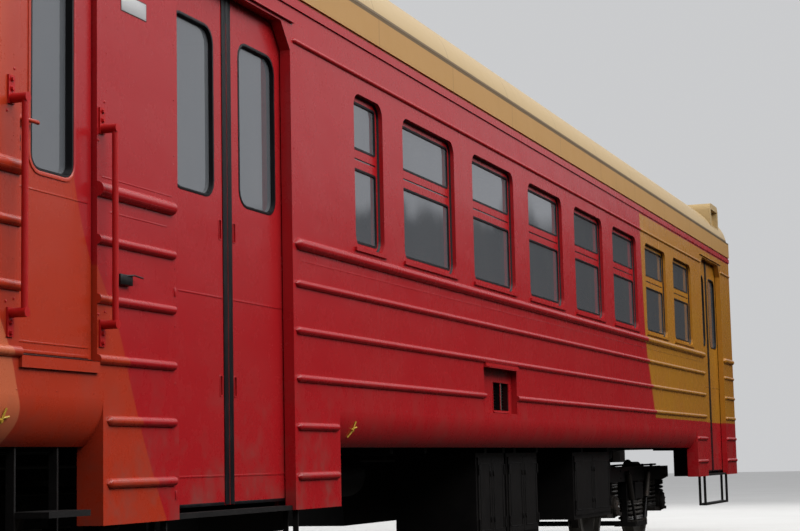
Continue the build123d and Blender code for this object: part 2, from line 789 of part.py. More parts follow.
# Side walls: three panels a side, with their ribs, leaf pockets, window holes and low boxes
with BuildPart() as side_panels_left:
    for x0, x1 in SIDE_SPANS:
        extrude(wall_face(Plane.YZ.offset(x0), INNER_Y, CANT_BOTTOM), amount=x1 - x0)
        for z, height, proud in WALL_RIBS:
            rib(x0 + RIB_MARGIN, x1 - RIB_MARGIN, z, height, proud)
    for x0, x1 in BOX_SPANS:
        block((x0, x1), (INNER_Y, WALL_Y), (BOX_BOTTOM, TURN_TOP))
        for z in BOX_RIB_Z:
            rib(x0 + RIB_MARGIN, x1 - RIB_MARGIN, z, RIB_H, RIB_OUT)
    for doorway in DOORWAYS:
        for way in (-1, 1):
            near = doorway + way * (DOOR_HALF - CORNER_X)
            edge = doorway + way * DOOR_HALF
            root = edge + way * CORNER_ROOT
            side_prism(
                (
                    (near, CANT_BOTTOM),
                    (edge, CANT_BOTTOM - CORNER_Z),
                    (root, CANT_BOTTOM - CORNER_Z),
                    (root, CANT_BOTTOM),
                ),
                WALL_Y - SKIN_T,
                WALL_Y,
            )
            pocket = sorted((edge - way, doorway + way * POCKET_REACH))
            block(pocket, (POCKET_IN, POCKET_OUT), (BOX_BOTTOM + BOX_FLOOR, CANT_BOTTOM + 1), Mode.SUBTRACT)
    for centre, width in SIDE_WINDOWS:
        sill = (centre - width / 2 - SILL_SIDE, centre + width / 2 + SILL_SIDE)
        block(sill, (WALL_Y - RIB_ROOT, WALL_Y + SILL_OUT), (WINDOW_Z[0] - SILL_H, WINDOW_Z[0]))
        window_hole(centre, width)
    wall_hole(SERVICE_X, SERVICE_Z, 0, -BELT_OUT, WALL_T + BELT_OUT + 1)
    block(SERVICE_X, (WALL_Y - SKIN_T, WALL_Y + SILL_OUT), (SERVICE_Z[0] - THRESHOLD_T, SERVICE_Z[0]))
    hinge_ears(SERVICE_PLANE, SERVICE_H, SERVICE_T, SERVICE_GAP)
    wall_hole(INTAKE_X, INTAKE_Z, 0, -RIB_OUT, RIB_OUT + INTAKE_DEPTH)
    wall_hole(INTAKE_MOUTH_X, INTAKE_MOUTH_Z, 0, INTAKE_DEPTH - 1, INTAKE_MOUTH_DEPTH - INTAKE_DEPTH)
    mouth_x = sum(INTAKE_MOUTH_X) / 2
    bar_x = (mouth_x - INTAKE_BAR_W / 2, mouth_x + INTAKE_BAR_W / 2)
    bar_y = (WALL_Y - INTAKE_MOUTH_DEPTH, WALL_Y - INTAKE_DEPTH)
    block(bar_x, bar_y, (INTAKE_MOUTH_Z[0] - 1, INTAKE_MOUTH_Z[1] + 1))
    block(INTAKE_X, (WALL_Y - RIB_ROOT, WALL_Y + RIB_OUT), (INTAKE_Z[1], INTAKE_Z[1] + SILL_H))
finish(side_panels_left, "side_panels_left")

with BuildPart() as side_panels_right:
    mirror(side_panels_left.part, about=Plane.XZ)
finish(side_panels_right, "side_panels_right")

# Cantrails over the doorways, with the runner bars that the sliding leaves hang on
with BuildPart() as cantrails:
    block((-BODY_HALF, NOSE_START), (INNER_Y, WALL_Y), (CANT_BOTTOM, CANT_TOP))
    block((-BODY_HALF, NOSE_START), (WALL_Y - 1, WALL_Y + BAND_OUT), BAND_Z)
    for doorway in DOORWAYS:
        reach = (doorway - RAIL_REACH, doorway + RAIL_REACH)
        block(reach, (POCKET_IN, POCKET_OUT), (CANT_BOTTOM - 1, RAIL_TOP), Mode.SUBTRACT)
        block(reach, (WALL_Y - RAIL_DEPTH[1], WALL_Y - RAIL_DEPTH[0]), (RAIL_BOTTOM, RAIL_TOP))
    mirror(about=Plane.XZ)
finish(cantrails, "cantrails")

# Roof shell, rounded down at its rear end, with lengthwise corrugations and two intakes a side
ROOF_FOOT = [(FASCIA_Y, CANT_TOP), (FASCIA_Y, FASCIA_TOP), (GROOVE_Y, FASCIA_TOP), (GROOVE_Y, SHOULDER_Z)]
ROOF_INNER_FOOT = [(FASCIA_Y - ROOF_T, CANT_TOP), (FASCIA_Y - ROOF_T, FASCIA_TOP - ROOF_T)]


def roof_profile(inset):
    """Side view of the roof on a plane beside it, rounded down at the rear."""
    with BuildSketch(Plane(origin=(0, FASCIA_Y, 0), x_dir=(1, 0, 0), z_dir=(0, -1, 0))) as profile:
        Polygon(
            (-BODY_HALF + inset, CANT_TOP),
            (NOSE_START, CANT_TOP),
            (NOSE_START, ROOF_TOP + ROOF_RIB_H),
            (-BODY_HALF + inset, ROOF_TOP + ROOF_RIB_H),
            align=None,
        )
        corner = profile.vertices().group_by(Axis.Y)[-1].sort_by(Axis.X)[0]
        fillet(corner, ROOF_END_R - inset)
    return profile.sketch


with BuildPart() as roof:
    extrude(roof_face(Plane.YZ.offset(-BODY_HALF), 0, ROOF_FOOT), amount=BODY_HALF + NOSE_START)
    crown = crown_radius()
    for i in range(-ROOF_RIB_SIDE, ROOF_RIB_SIDE + 1):
        y = i * ROOF_RIB_PITCH
        z = ROOF_TOP - crown + math.sqrt(crown**2 - y**2)
        ends = (-BODY_HALF, NOSE_START)
        block(ends, (y - ROOF_RIB_W / 2, y + ROOF_RIB_W / 2), (z - ROOF_RIB_H, z + ROOF_RIB_H))
    extrude(roof_profile(0), amount=2 * FASCIA_Y, mode=Mode.INTERSECT)
with BuildPart() as roof_void:
    extrude(roof_face(Plane.YZ.offset(-BODY_HALF), ROOF_T, ROOF_INNER_FOOT), amount=BODY_HALF + NOSE_START)
    extrude(roof_profile(ROOF_T), amount=2 * FASCIA_Y, mode=Mode.INTERSECT)
with BuildPart() as roof_shell:
    add(roof.part)
    for centre in ROOF_INTAKES:
        for way in (-1, 1):
            with BuildSketch(Plane.XZ.offset(-way * ROOF_INTAKE_Y[1])) as cowl:
                with Locations((centre, sum(ROOF_INTAKE_Z) / 2)):
                    RectangleRounded(ROOF_INTAKE_W, ROOF_INTAKE_Z[1] - ROOF_INTAKE_Z[0], ROOF_INTAKE_R)
            extrude(cowl.sketch, amount=way * (ROOF_INTAKE_Y[1] - ROOF_INTAKE_Y[0]))
            slot_y = sorted((way * (ROOF_INTAKE_Y[1] - ROOF_SLOT_DEPTH), way * (ROOF_INTAKE_Y[1] + 1)))
            slot_x = (centre - ROOF_SLOT_W / 2, centre + ROOF_SLOT_W / 2)
            block(slot_x, slot_y, ROOF_SLOT_Z, Mode.SUBTRACT)
    add(roof_void.part, mode=Mode.SUBTRACT)
finish(roof_shell, "roof")

# Cab front: a rounded shell with two windscreens, a head lamp opening and marker lamp openings
LAMPS = (
    # y, z, radius, front face of its rim
    (0, HEAD_LAMP_Z, HEAD_LAMP_R, HEAD_RIM_X),
    (MARKER_Y, MARKER_Z, MARKER_R, MARKER_RIM_X),
    (-MARKER_Y, MARKER_Z, MARKER_R, MARKER_RIM_X),
)


def screen_holes(plane, mode, amount):
    """The two windscreen outlines on a plane facing forward, pushed along X."""
    with BuildSketch(plane) as outline:
        for way in (-1, 1):
            with Locations((way * sum(SCREEN_Y) / 2, sum(SCREEN_Z) / 2)):
                RectangleRounded(SCREEN_Y[1] - SCREEN_Y[0], SCREEN_Z[1] - SCREEN_Z[0], SCREEN_R)
    extrude(outline.sketch, amount=amount, mode=mode)


def lamp_rods(grow, ahead, mode):
    """Rods along X at the lamps of the cab front, wider by grow, to a distance ahead of their rims."""
    for y, z, radius, rim in LAMPS:
        bar((SCREEN_FROM, y, z), (rim + ahead, y, z), radius + grow, mode)


with BuildPart() as cab_front:
    add(nose_solid(0, BODY_BOTTOM))
    for z, height, proud in WALL_RIBS[:4]:
        add(nose_band(z, height, proud))
    lamp_rods(LAMP_RIM, 0, Mode.ADD)
    add(nose_solid(NOSE_T, BODY_BOTTOM - 1), mode=Mode.SUBTRACT)
    screen_holes(Plane.YZ.offset(SCREEN_FROM), Mode.SUBTRACT, BODY_HALF)
    lamp_rods(0, LAMP_RIM, Mode.SUBTRACT)
    coupler_gap = (BODY_BOTTOM - 1, SKIRT_GAP_TOP)
    block((SCREEN_FROM, 2 * BODY_HALF), (-SKIRT_GAP_Y, SKIRT_GAP_Y), coupler_gap, Mode.SUBTRACT)
finish(cab_front, "cab_front")

# Rear end wall with the doorway to the next car, and the hinge ears of its door
with BuildPart() as end_wall:
    block((-BODY_HALF, -BODY_HALF + END_T), (-INNER_Y, INNER_Y), (FLOOR_BOTTOM, CANT_TOP))
    block((-BODY_HALF - 1, -BODY_HALF + END_T + 1), (-END_DOOR_Y, END_DOOR_Y), END_DOOR_Z, Mode.SUBTRACT)
    hinge_ears(END_PLANE, END_H, END_THICK, END_DOOR_Y - END_W / 2)
finish(end_wall, "end_wall")

# Gangway: folded bellows between two frames
with BuildPart() as gangway:
    for i in range(2 * GANGWAY_FOLDS + 1):
        grow = 0 if i % 2 == 0 else GANGWAY_FOLD_DEPTH
        start = -BODY_HALF - GANGWAY_OUT + i * GANGWAY_FOLD_T
        block(
            (start, start + GANGWAY_FOLD_T),
            (-GANGWAY_Y + grow, GANGWAY_Y - grow),
            (FLOOR_BOTTOM + grow, GANGWAY_TOP - grow),
        )
    inner_y = GANGWAY_Y - GANGWAY_WALL
    block(
        (-BODY_HALF - GANGWAY_OUT, -BODY_HALF),
        (-inner_y, inner_y),
        (FLOOR_TOP, GANGWAY_TOP - GANGWAY_WALL),
        Mode.SUBTRACT,
    )
finish(gangway, "gangway")

# Floor slab, with cut-outs for the step wells and a rounded end in the nose
with BuildPart() as floor:
    block((-BODY_HALF + END_T, NOSE_START), (-INNER_Y, INNER_Y), (FLOOR_BOTTOM, FLOOR_TOP))
    extrude(nose_plan(Plane.XY.offset(FLOOR_BOTTOM), NOSE_T, NOSE_START), amount=FLOOR_TOP - FLOOR_BOTTOM)
    for doorway in DOORWAYS:
        for way in (-1, 1):
            well = sorted((way * WELL_Y, way * (INNER_Y + 1)))
            edges = (doorway - DOOR_HALF, doorway + DOOR_HALF)
            block(edges, well, (FLOOR_BOTTOM - 1, FLOOR_TOP + 1), Mode.SUBTRACT)
finish(floor, "floor")

# Underframe: side sills, centre beams, cross members, bolsters, headstocks and pivot pins
WELL_HALF = DOOR_HALF + WELL_PLATE
SILL_SPANS = (
    # rear end, front end
    (-BODY_HALF, REAR_DOORWAY - WELL_HALF),
    (REAR_DOORWAY + WELL_HALF, FRONT_DOORWAY - WELL_HALF),
    (FRONT_DOORWAY + WELL_HALF, SILL_FRONT),
)
with BuildPart() as underframe:
    beam_z = (BODY_BOTTOM, FLOOR_BOTTOM)
    for rear, front in SILL_SPANS:
        block((rear, front), SILL_Y, beam_z)
    block((-BODY_HALF, FRONT_HEADSTOCK_X[1]), CENTRE_BEAM_Y, beam_z)
    mirror(about=Plane.XZ)
    for x in CROSS_X:
        block((x - CROSS_T / 2, x + CROSS_T / 2), (-SILL_Y[0], SILL_Y[0]), (CROSS_BOTTOM, FLOOR_BOTTOM))
    for doorway in DOORWAYS:
        for way in (-1, 1):
            x = doorway + way * (WELL_HALF + CROSS_T / 2)
            block((x - CROSS_T / 2, x + CROSS_T / 2), (-SILL_Y[1], SILL_Y[1]), beam_z)
        well_side = (WELL_Y - WELL_PLATE - CROSS_T, WELL_Y - WELL_PLATE)
        for side in (well_side, (-well_side[1], -well_side[0])):
            block((doorway - DOOR_HALF - CROSS_T, doorway + DOOR_HALF + CROSS_T), side, beam_z)
    block((-BODY_HALF, -BODY_HALF + REAR_HEADSTOCK_L), (-SILL_Y[1], SILL_Y[1]), beam_z)
    block(FRONT_HEADSTOCK_X, (-FRONT_HEADSTOCK_Y, FRONT_HEADSTOCK_Y), beam_z)
    for way in (-1, 1):
        x = way * BOGIE_X
        block((x - BODY_BOLSTER_HALF, x + BODY_BOLSTER_HALF), (-SILL_Y[1], SILL_Y[1]), beam_z)
        with BuildSketch(Plane.XY.offset(BODY_BOTTOM - PIVOT_L)) as pin:
            with Locations((x, 0)):
                Circle(PIVOT_R)
        extrude(pin.sketch, amount=PIVOT_L)
        for side in (-1, 1):
            at = (way * PAD_X, side * sum(SILL_Y) / 2, BODY_BOTTOM - PAD_SIZE[2] / 2)
            with Locations(at):
                Box(*PAD_SIZE)
        draft = sorted((way * DRAFT_X[0], way * DRAFT_X[1]))
        block(draft, (-CENTRE_BEAM_Y[1], CENTRE_BEAM_Y[1]), beam_z)
        block(draft, (-DRAFT_Y, DRAFT_Y), (COUPLER_Z - SHANK_H / 2 - DRAFT_T, BODY_BOTTOM))
        slot = sorted((way * DRAFT_X[1], way * (BODY_HALF + 1)))
        slot_y = SHANK_W / 2 + SHANK_CLEAR
        slot_z = (BODY_BOTTOM - 1, COUPLER_Z + SHANK_H / 2 + SHANK_CLEAR)
        block(slot, (-slot_y, slot_y), slot_z, Mode.SUBTRACT)
finish(underframe, "underframe")

# Automatic couplers with a large and a small claw, on shanks that leave the draft boxes
with BuildPart() as front_coupler:
    with BuildSketch(Plane.XY.offset(COUPLER_Z - SHANK_H / 2)) as shank:
        with Locations(((DRAFT_X[1] + COUPLER_HEAD_X) / 2, 0)):
            Rectangle(COUPLER_HEAD_X - DRAFT_X[1], SHANK_W)
    extrude(shank.sketch, amount=SHANK_H)
    with BuildSketch(Plane.XY.offset(COUPLER_Z - COUPLER_HEAD_H / 2)) as head:
        Polygon(*[(COUPLER_REACH + x, y) for x, y in COUPLER_OUTLINE], align=None)
        fillet(head.vertices(), COUPLER_ROUND)
    extrude(head.sketch, amount=COUPLER_HEAD_H)
with BuildPart() as couplers:
    add(front_coupler.part)
    add(front_coupler.part.rotate(Axis.Z, 180))
finish(couplers, "couplers")


def plough_blade(low, height, thick):
    """Pointed blade across the front, its rear face fixed and its front face a thickness ahead."""
    tip = PLOUGH_TIP_X - PLOUGH_T
    wing = PLOUGH_WING_X - PLOUGH_T
    with BuildSketch(Plane.XY.offset(low)) as blade:
        Polygon(
            (tip + thick, 0),
            (wing + thick, PLOUGH_WING_Y),
            (wing, PLOUGH_WING_Y),
            (tip, 0),
            (wing, -PLOUGH_WING_Y),
            (wing + thick, -PLOUGH_WING_Y),
            align=None,
        )
    extrude(blade.sketch, amount=height)


# Plough under the nose: a pointed blade with two ribs, on arms from the headstock
with BuildPart() as plough:
    plough_blade(PLOUGH_Z[0], PLOUGH_Z[1] - PLOUGH_Z[0], PLOUGH_T)
    for z in PLOUGH_RIBS:
        plough_blade(z - PLOUGH_RIB_H / 2, PLOUGH_RIB_H, PLOUGH_T + PLOUGH_RIB_OUT)
    arm_share = PLOUGH_ARM_Y / PLOUGH_WING_Y
    arm_x = PLOUGH_TIP_X - PLOUGH_T - arm_share * (PLOUGH_TIP_X - PLOUGH_WING_X) + 1
    arm = (
        (FRONT_HEADSTOCK_X[0], BODY_BOTTOM),
        (FRONT_HEADSTOCK_X[0], BODY_BOTTOM - PLOUGH_ARM_H),
        (arm_x, PLOUGH_Z[0] + PLOUGH_ARM_H),
        (arm_x, PLOUGH_Z[1]),
        (FRONT_HEADSTOCK_X[1], BODY_BOTTOM),
    )
    side_prism(arm, PLOUGH_ARM_Y - PLOUGH_T, PLOUGH_ARM_Y + PLOUGH_T)
    side_prism(arm, -PLOUGH_ARM_Y - PLOUGH_T, -PLOUGH_ARM_Y + PLOUGH_T)
finish(plough, "plough")

# Step wells, hung steps and the ladders below the service doors
with BuildPart() as steps:
    for doorway in DOORWAYS:
        edges = (doorway - DOOR_HALF, doorway + DOOR_HALF)
        block(edges, (LOW_TREAD_Y, WALL_Y - SILL_INSET), (BOX_BOTTOM, BOX_BOTTOM + TREAD_T))
        block(edges, (LOW_TREAD_Y - WELL_PLATE, LOW_TREAD_Y), (BOX_BOTTOM, HIGH_TREAD_Z))
        block(edges, (WELL_Y, LOW_TREAD_Y), (HIGH_TREAD_Z - TREAD_T, HIGH_TREAD_Z))
        block(edges, (WELL_Y - WELL_PLATE, WELL_Y), (HIGH_TREAD_Z - TREAD_T, FLOOR_BOTTOM))
        for way in (-1, 1):
            edge = doorway + way * DOOR_HALF
            plate = sorted((edge, edge + way * WELL_PLATE))
            cross_prism(
                (
                    (LOW_TREAD_Y - WELL_PLATE, BOX_BOTTOM),
                    (INNER_Y, BOX_BOTTOM),
                    (INNER_Y, FLOOR_BOTTOM),
                    (WELL_Y - WELL_PLATE, FLOOR_BOTTOM),
                    (WELL_Y - WELL_PLATE, HIGH_TREAD_Z - TREAD_T),
                    (LOW_TREAD_Y - WELL_PLATE, HIGH_TREAD_Z - TREAD_T),
                ),
                *plate,
            )
            x = doorway + way * HUNG_STEP_HALF
            for y in HANGER_Y:
                block(
                    (x - HANGER_T / 2, x + HANGER_T / 2),
                    (y - HANGER_W / 2, y + HANGER_W / 2),
                    (HUNG_STEP_Z, BOX_BOTTOM),
                )
        board = (doorway - HUNG_STEP_HALF - HANGER_T / 2, doorway + HUNG_STEP_HALF + HANGER_T / 2)
        depth = (HANGER_Y[0] - HANGER_W / 2, HANGER_Y[-1] + HANGER_W / 2)
        block(board, depth, (HUNG_STEP_Z - HUNG_STEP_T, HUNG_STEP_Z))
    for way in (-1, 1):
        x = LADDER_X + way * LADDER_HALF
        block((x - HANGER_T / 2, x + HANGER_T / 2), LADDER_Y, (LADDER_RUNGS[0], BODY_BOTTOM))
    for z, depth in zip(LADDER_RUNGS, LADDER_DEPTHS):
        rung = (LADDER_X - LADDER_HALF, LADDER_X + LADDER_HALF)
        block(rung, (LADDER_Y[0], LADDER_Y[0] + depth), (z, z + HUNG_STEP_T))
    mirror(about=Plane.XZ)
finish(steps, "steps")

# Window frames of the side windows, each a casing with a bar between its two panes
FRAME_DEPTH = (WINDOW_LIP, WINDOW_LIP + FRAME_T)


def at_depth(near, far):
    """Y limits between two depths of the left wall."""
    return (WALL_Y - far, WALL_Y - near)


with BuildPart() as window_frames:
    for centre, width in SIDE_WINDOWS:
        half = width / 2
        outer = (centre - half - REBATE, centre + half + REBATE)
        clear = (centre - half + FRAME_BAR, centre + half - FRAME_BAR)
        pane = (outer[0] + GLASS_EDGE, outer[1] - GLASS_EDGE)
        high = (WINDOW_Z[0] - REBATE, WINDOW_Z[1] + REBATE)
        block(outer, at_depth(*FRAME_DEPTH), high)
        for low, top in ((WINDOW_Z[0] + FRAME_BAR, SASH_Z[0]), (SASH_Z[1], WINDOW_Z[1] - FRAME_BAR)):
            block(clear, at_depth(FRAME_DEPTH[0] - 1, FRAME_DEPTH[1] + 1), (low, top), Mode.SUBTRACT)
        slot = (high[0] + GLASS_EDGE, high[1] - GLASS_EDGE)
        block(pane, at_depth(GLASS_DEPTH, GLASS_DEPTH + GLASS_T), slot, Mode.SUBTRACT)
        meeting = sum(SASH_Z) / 2
        groove_z = (meeting - SASH_GROOVE[0] / 2, meeting + SASH_GROOVE[0] / 2)
        block(clear, at_depth(FRAME_DEPTH[0] - 1, FRAME_DEPTH[0] + SASH_GROOVE[1]), groove_z, Mode.SUBTRACT)
    mirror(about=Plane.XZ)
finish(window_frames, "window_frames")

# Panes of the side windows, and the two windscreens
with BuildPart() as windscreens:
    add(nose_solid(SCREEN_DEPTH, BODY_BOTTOM))
    add(nose_solid(SCREEN_DEPTH + GLASS_T, BODY_BOTTOM), mode=Mode.SUBTRACT)
    screen_holes(Plane.YZ.offset(SCREEN_FROM), Mode.INTERSECT, BODY_HALF)
with BuildPart() as window_glass:
    add(windscreens.part)
    for centre, width in SIDE_WINDOWS:
        half = width / 2 + REBATE - GLASS_EDGE
        slot = (WINDOW_Z[0] - REBATE + GLASS_EDGE, WINDOW_Z[1] + REBATE - GLASS_EDGE)
        for way in (-1, 1):
            y = sorted(way * depth for depth in at_depth(GLASS_DEPTH, GLASS_DEPTH + GLASS_T))
            block((centre - half, centre + half), y, slot)
finish(window_glass, "window_glass")


def leaf_outline(doorway, way, grow):
    """X and Z limits of a leaf's window, widened by grow, and its corner radius."""
    near, far = (doorway + way * x for x in LEAF_WINDOW)
    x = (min(near, far) - grow, max(near, far) + grow)
    return x, (LEAF_WINDOW_Z[0] - grow, LEAF_WINDOW_Z[1] + grow), LEAF_WINDOW_R + grow


def sliding_leaf(doorway, way):
    """Leaf of a left doorway, ahead of the seam for way 1 and behind it for way -1."""
    seam = doorway + way * LEAF_SEAM
    x = sorted((seam, seam + way * LEAF_W))
    with BuildPart() as panel:
        block(x, at_depth(LEAF_DEPTH, LEAF_DEPTH + LEAF_T), (LEAF_BOTTOM, LEAF_TOP))
        groove = at_depth(RAIL_DEPTH[0] - RAIL_GAP, RAIL_DEPTH[1] + RAIL_GAP)
        block(x, groove, (RAIL_BOTTOM - RAIL_GAP, LEAF_TOP), Mode.SUBTRACT)
        edge = sorted((seam, seam + way * SEAM_EDGE_W))
        block(edge, at_depth(LEAF_DEPTH - SEAM_EDGE_OUT, LEAF_DEPTH + 1), (LEAF_BOTTOM, CANT_BOTTOM - CORNER_Z))
        grip = sorted(doorway + way * reach for reach in GRIP_X)
        for heights in GRIP_Z:
            wall_hole(grip, heights, 0, LEAF_DEPTH - 1, GRIP_DEPTH + 1)
        wall_hole(*leaf_outline(doorway, way, 0), LEAF_DEPTH - 1, LEAF_T + 2)
        wall_hole(*leaf_outline(doorway, way, LEAF_REBATE), LEAF_DEPTH + LEAF_T - PANE_REBATE, PANE_REBATE + 1)
    return panel.part


def leaf_pane(doorway, way):
    """Pane of a sliding leaf, in the rebate on its inner face."""
    x, z, radius = leaf_outline(doorway, way, LEAF_REBATE)
    with BuildPart() as pane:
        with BuildSketch(left_wall(LEAF_DEPTH + LEAF_T - PANE_REBATE)) as outline:
            with Locations((sum(x) / 2, sum(z) / 2)):
                RectangleRounded(x[1] - x[0], z[1] - z[0], radius)
        extrude(outline.sketch, amount=GLASS_T)
    return pane.part


# Eight sliding leaves and their panes
for place, doorway in (("front", FRONT_DOORWAY), ("rear", REAR_DOORWAY)):
    for half, way in (("lead", 1), ("follow", -1)):
        for maker, ending in ((sliding_leaf, "leaf"), (leaf_pane, "pane")):
            with BuildPart() as left_piece:
                add(maker(doorway, way))
            finish(left_piece, f"{place}_left_{half}_{ending}")
            with BuildPart() as right_piece:
                mirror(left_piece.part, about=Plane.XZ)
            finish(right_piece, f"{place}_right_{half}_{ending}")

# Service doors beside the cab and their panes
with BuildPart() as service_door_left:
    add(swing_door(SERVICE_PLANE, SERVICE_W, SERVICE_H, SERVICE_T, SERVICE_WINDOW_X, SERVICE_LIGHT_Z))
finish(service_door_left, "service_door_left")
with BuildPart() as service_door_right:
    mirror(service_door_left.part, about=Plane.XZ)
finish(service_door_right, "service_door_right")
with BuildPart() as service_pane_left:
    add(swing_pane(SERVICE_PLANE, SERVICE_T, SERVICE_WINDOW_X, SERVICE_LIGHT_Z))
finish(service_pane_left, "service_pane_left")
with BuildPart() as service_pane_right:
    mirror(service_pane_left.part, about=Plane.XZ)
finish(service_pane_right, "service_pane_right")

# End door and its pane
with BuildPart() as end_door:
    add(swing_door(END_PLANE, END_W, END_H, END_THICK, END_LIGHT_X, END_LIGHT_Z))
finish(end_door, "end_door")
with BuildPart() as end_pane:
    add(swing_pane(END_PLANE, END_THICK, END_LIGHT_X, END_LIGHT_Z))
finish(end_pane, "end_pane")

# Partitions between saloon, vestibules and cab, and the ceiling
with BuildPart() as partitions:
    for x in PARTITION_X:
        block((x, x + PARTITION_T), (-INNER_Y, INNER_Y), (FLOOR_TOP, CEILING_Z))
        block((x - 1, x + PARTITION_T + 1), (-PASSAGE_Y, PASSAGE_Y), (FLOOR_TOP - 1, PASSAGE_TOP), Mode.SUBTRACT)
finish(partitions, "partitions")

with BuildPart() as ceiling:
    block((-BODY_HALF + END_T, NOSE_START), (-INNER_Y, INNER_Y), (CEILING_Z, CEILING_Z + CEILING_T))
finish(ceiling, "ceiling")

# Benches back to back between the windows, and single ones against the saloon partitions
BENCH_HALF = (
    # x from the middle of the back, z above the floor
    (BENCH_BACK_TOP, BENCH_BACK_H),
    (BENCH_BACK_FOOT, BENCH_SEAT_H),
    (BENCH_REACH, BENCH_SEAT_H + BENCH_TILT),
    (BENCH_REACH, BENCH_SEAT_H + BENCH_TILT - BENCH_SEAT_T),
    (BENCH_LEG, BENCH_SEAT_H - BENCH_SEAT_T),
    (BENCH_LEG, 0),
)
with BuildPart() as benches:
    for side in (-1, 1):
        span = sorted((side * AISLE_Y, side * INNER_Y))
        for x in BENCH_X:
            ahead = [(x + dx, FLOOR_TOP + dz) for dx, dz in BENCH_HALF]
            behind = [(x - dx, FLOOR_TOP + dz) for dx, dz in reversed(BENCH_HALF)]
            side_prism(ahead + behind, *span)
        for wall, way in BENCH_WALLS:
            outline = [(wall + way * dx, FLOOR_TOP + dz) for dx, dz in BENCH_HALF]
            side_prism([(wall, FLOOR_TOP + BENCH_BACK_H)] + outline + [(wall, FLOOR_TOP)], *span)
finish(benches, "benches")

# Driver's desk and two seats
with BuildPart() as cab_fittings:
    side_prism([(x, FLOOR_TOP + z) for x, z in DESK_OUTLINE], -DESK_Y, DESK_Y)
    for y in (-CAB_SEAT_Y, CAB_SEAT_Y):
        with BuildSketch(Plane.XY.offset(FLOOR_TOP)) as post:
            with Locations((CAB_SEAT_X, y)):
                Circle(CAB_POST_R)
        extrude(post.sketch, amount=CAB_SEAT_H)
        shape = [(CAB_SEAT_X + x, FLOOR_TOP + z) for x, z in CAB_SEAT_OUTLINE]
        side_prism(shape, y - CAB_SEAT_HALF, y + CAB_SEAT_HALF)
finish(cab_fittings, "cab_fittings")

# Handrails beside the service doors
with BuildPart() as handrails:
    for x in HANDRAIL_X:
        y = WALL_Y + HANDRAIL_OUT
        bar((x, y, HANDRAIL_Z[0]), (x, y, HANDRAIL_Z[1]), HANDRAIL_R)
        plates = (HANDRAIL_Z[0] - RAIL_PLATE_REACH, HANDRAIL_Z[1] - RAIL_PLATE_BACK)
        for z, low in zip(HANDRAIL_Z, plates):
            bar((x, WALL_Y, z), (x, y + HANDRAIL_R, z), HANDRAIL_FOOT_R)
            width = (x - RAIL_PLATE_W / 2, x + RAIL_PLATE_W / 2)
            height = (low, low + RAIL_PLATE_REACH + RAIL_PLATE_BACK)
            block(width, (WALL_Y, WALL_Y + RAIL_PLATE_T), height)
    mirror(about=Plane.XZ)
finish(handrails, "handrails")

# Lamps: the head lamp, two markers in front, two markers at the rear
with BuildPart() as lamps:
    for y, z, radius, rim in LAMPS:
        end = rim - LAMP_SUNK
        bar((end - LAMP_L, y, z), (end, y, z), radius)
    for y in (-TAIL_Y, TAIL_Y):
        bar((-BODY_HALF - TAIL_OUT, y, TAIL_Z), (-BODY_HALF, y, TAIL_Z), TAIL_R)
finish(lamps, "lamps")

# Equipment cabinets and battery boxes on hangers below the underframe
with BuildPart() as equipment_boxes:
    for x0, x1, y0, y1, bottom in CABINETS:
        top = BODY_BOTTOM - CABINET_HANGER
        block((x0, x1), (y0, y1), (bottom, top))
        doors_y = (y1 - 1, y1 + CABINET_DOOR_T) if y1 > 0 else (y0 - CABINET_DOOR_T, y0 + 1)
        doors_z = (bottom + CABINET_DOOR_INSET, top - CABINET_DOOR_INSET)
        middle = (x0 + x1) / 2
        block((x0 + CABINET_DOOR_INSET, middle - CABINET_DOOR_GAP / 2), doors_y, doors_z)
        block((middle + CABINET_DOOR_GAP / 2, x1 - CABINET_DOOR_INSET), doors_y, doors_z)
    for x, side in CABINET_BARS:
        reach = sorted((side * BAR_INNER_Y, side * BAR_OUTER_Y))
        width = (x - CABINET_BAR_W / 2, x + CABINET_BAR_W / 2)
        block(width, reach, (BODY_BOTTOM - CABINET_HANGER, BODY_BOTTOM))
finish(equipment_boxes, "equipment_boxes")

# Air reservoirs in straps
with BuildPart() as air_reservoirs:
    for x, y, radius, length in RESERVOIRS:
        z = BODY_BOTTOM - RESERVOIR_DROP - radius
        bar((x - length / 2, y, z), (x + length / 2, y, z), radius)
        for way in (-1, 1):
            strap = x + way * length * STRAP_SHARE
            limits = (strap - STRAP_T / 2, strap + STRAP_T / 2)
            block(limits, (y - STRAP_W, y + STRAP_W), (z, BODY_BOTTOM))
            hanger = sorted((math.copysign(BAR_INNER_Y, y), math.copysign(BAR_OUTER_Y, y)))
            block(limits, hanger, (BODY_BOTTOM - CABINET_HANGER, BODY_BOTTOM))
finish(air_reservoirs, "air_reservoirs")

# Brake pipe from end to end, in clips, with an end cock at each end
with BuildPart() as brake_pipe:
    bar((-PIPE_REACH, PIPE_Y, PIPE_Z), (PIPE_REACH, PIPE_Y, PIPE_Z), PIPE_R)
    for way in (-1, 1):
        with Locations((way * (PIPE_REACH - PIPE_END - COCK_L / 2), PIPE_Y, PIPE_Z)):
            Box(COCK_L, COCK_W, COCK_W)
    clips = [(x, CROSS_BOTTOM) for x in CROSS_X] + [(x, BODY_BOTTOM) for x in PIPE_END_CLIPS]
    for x, top in clips:
        block((x - PIPE_R, x + PIPE_R), (PIPE_Y - PIPE_R, PIPE_Y + PIPE_R), (PIPE_Z, top))
finish(brake_pipe, "brake_pipe")


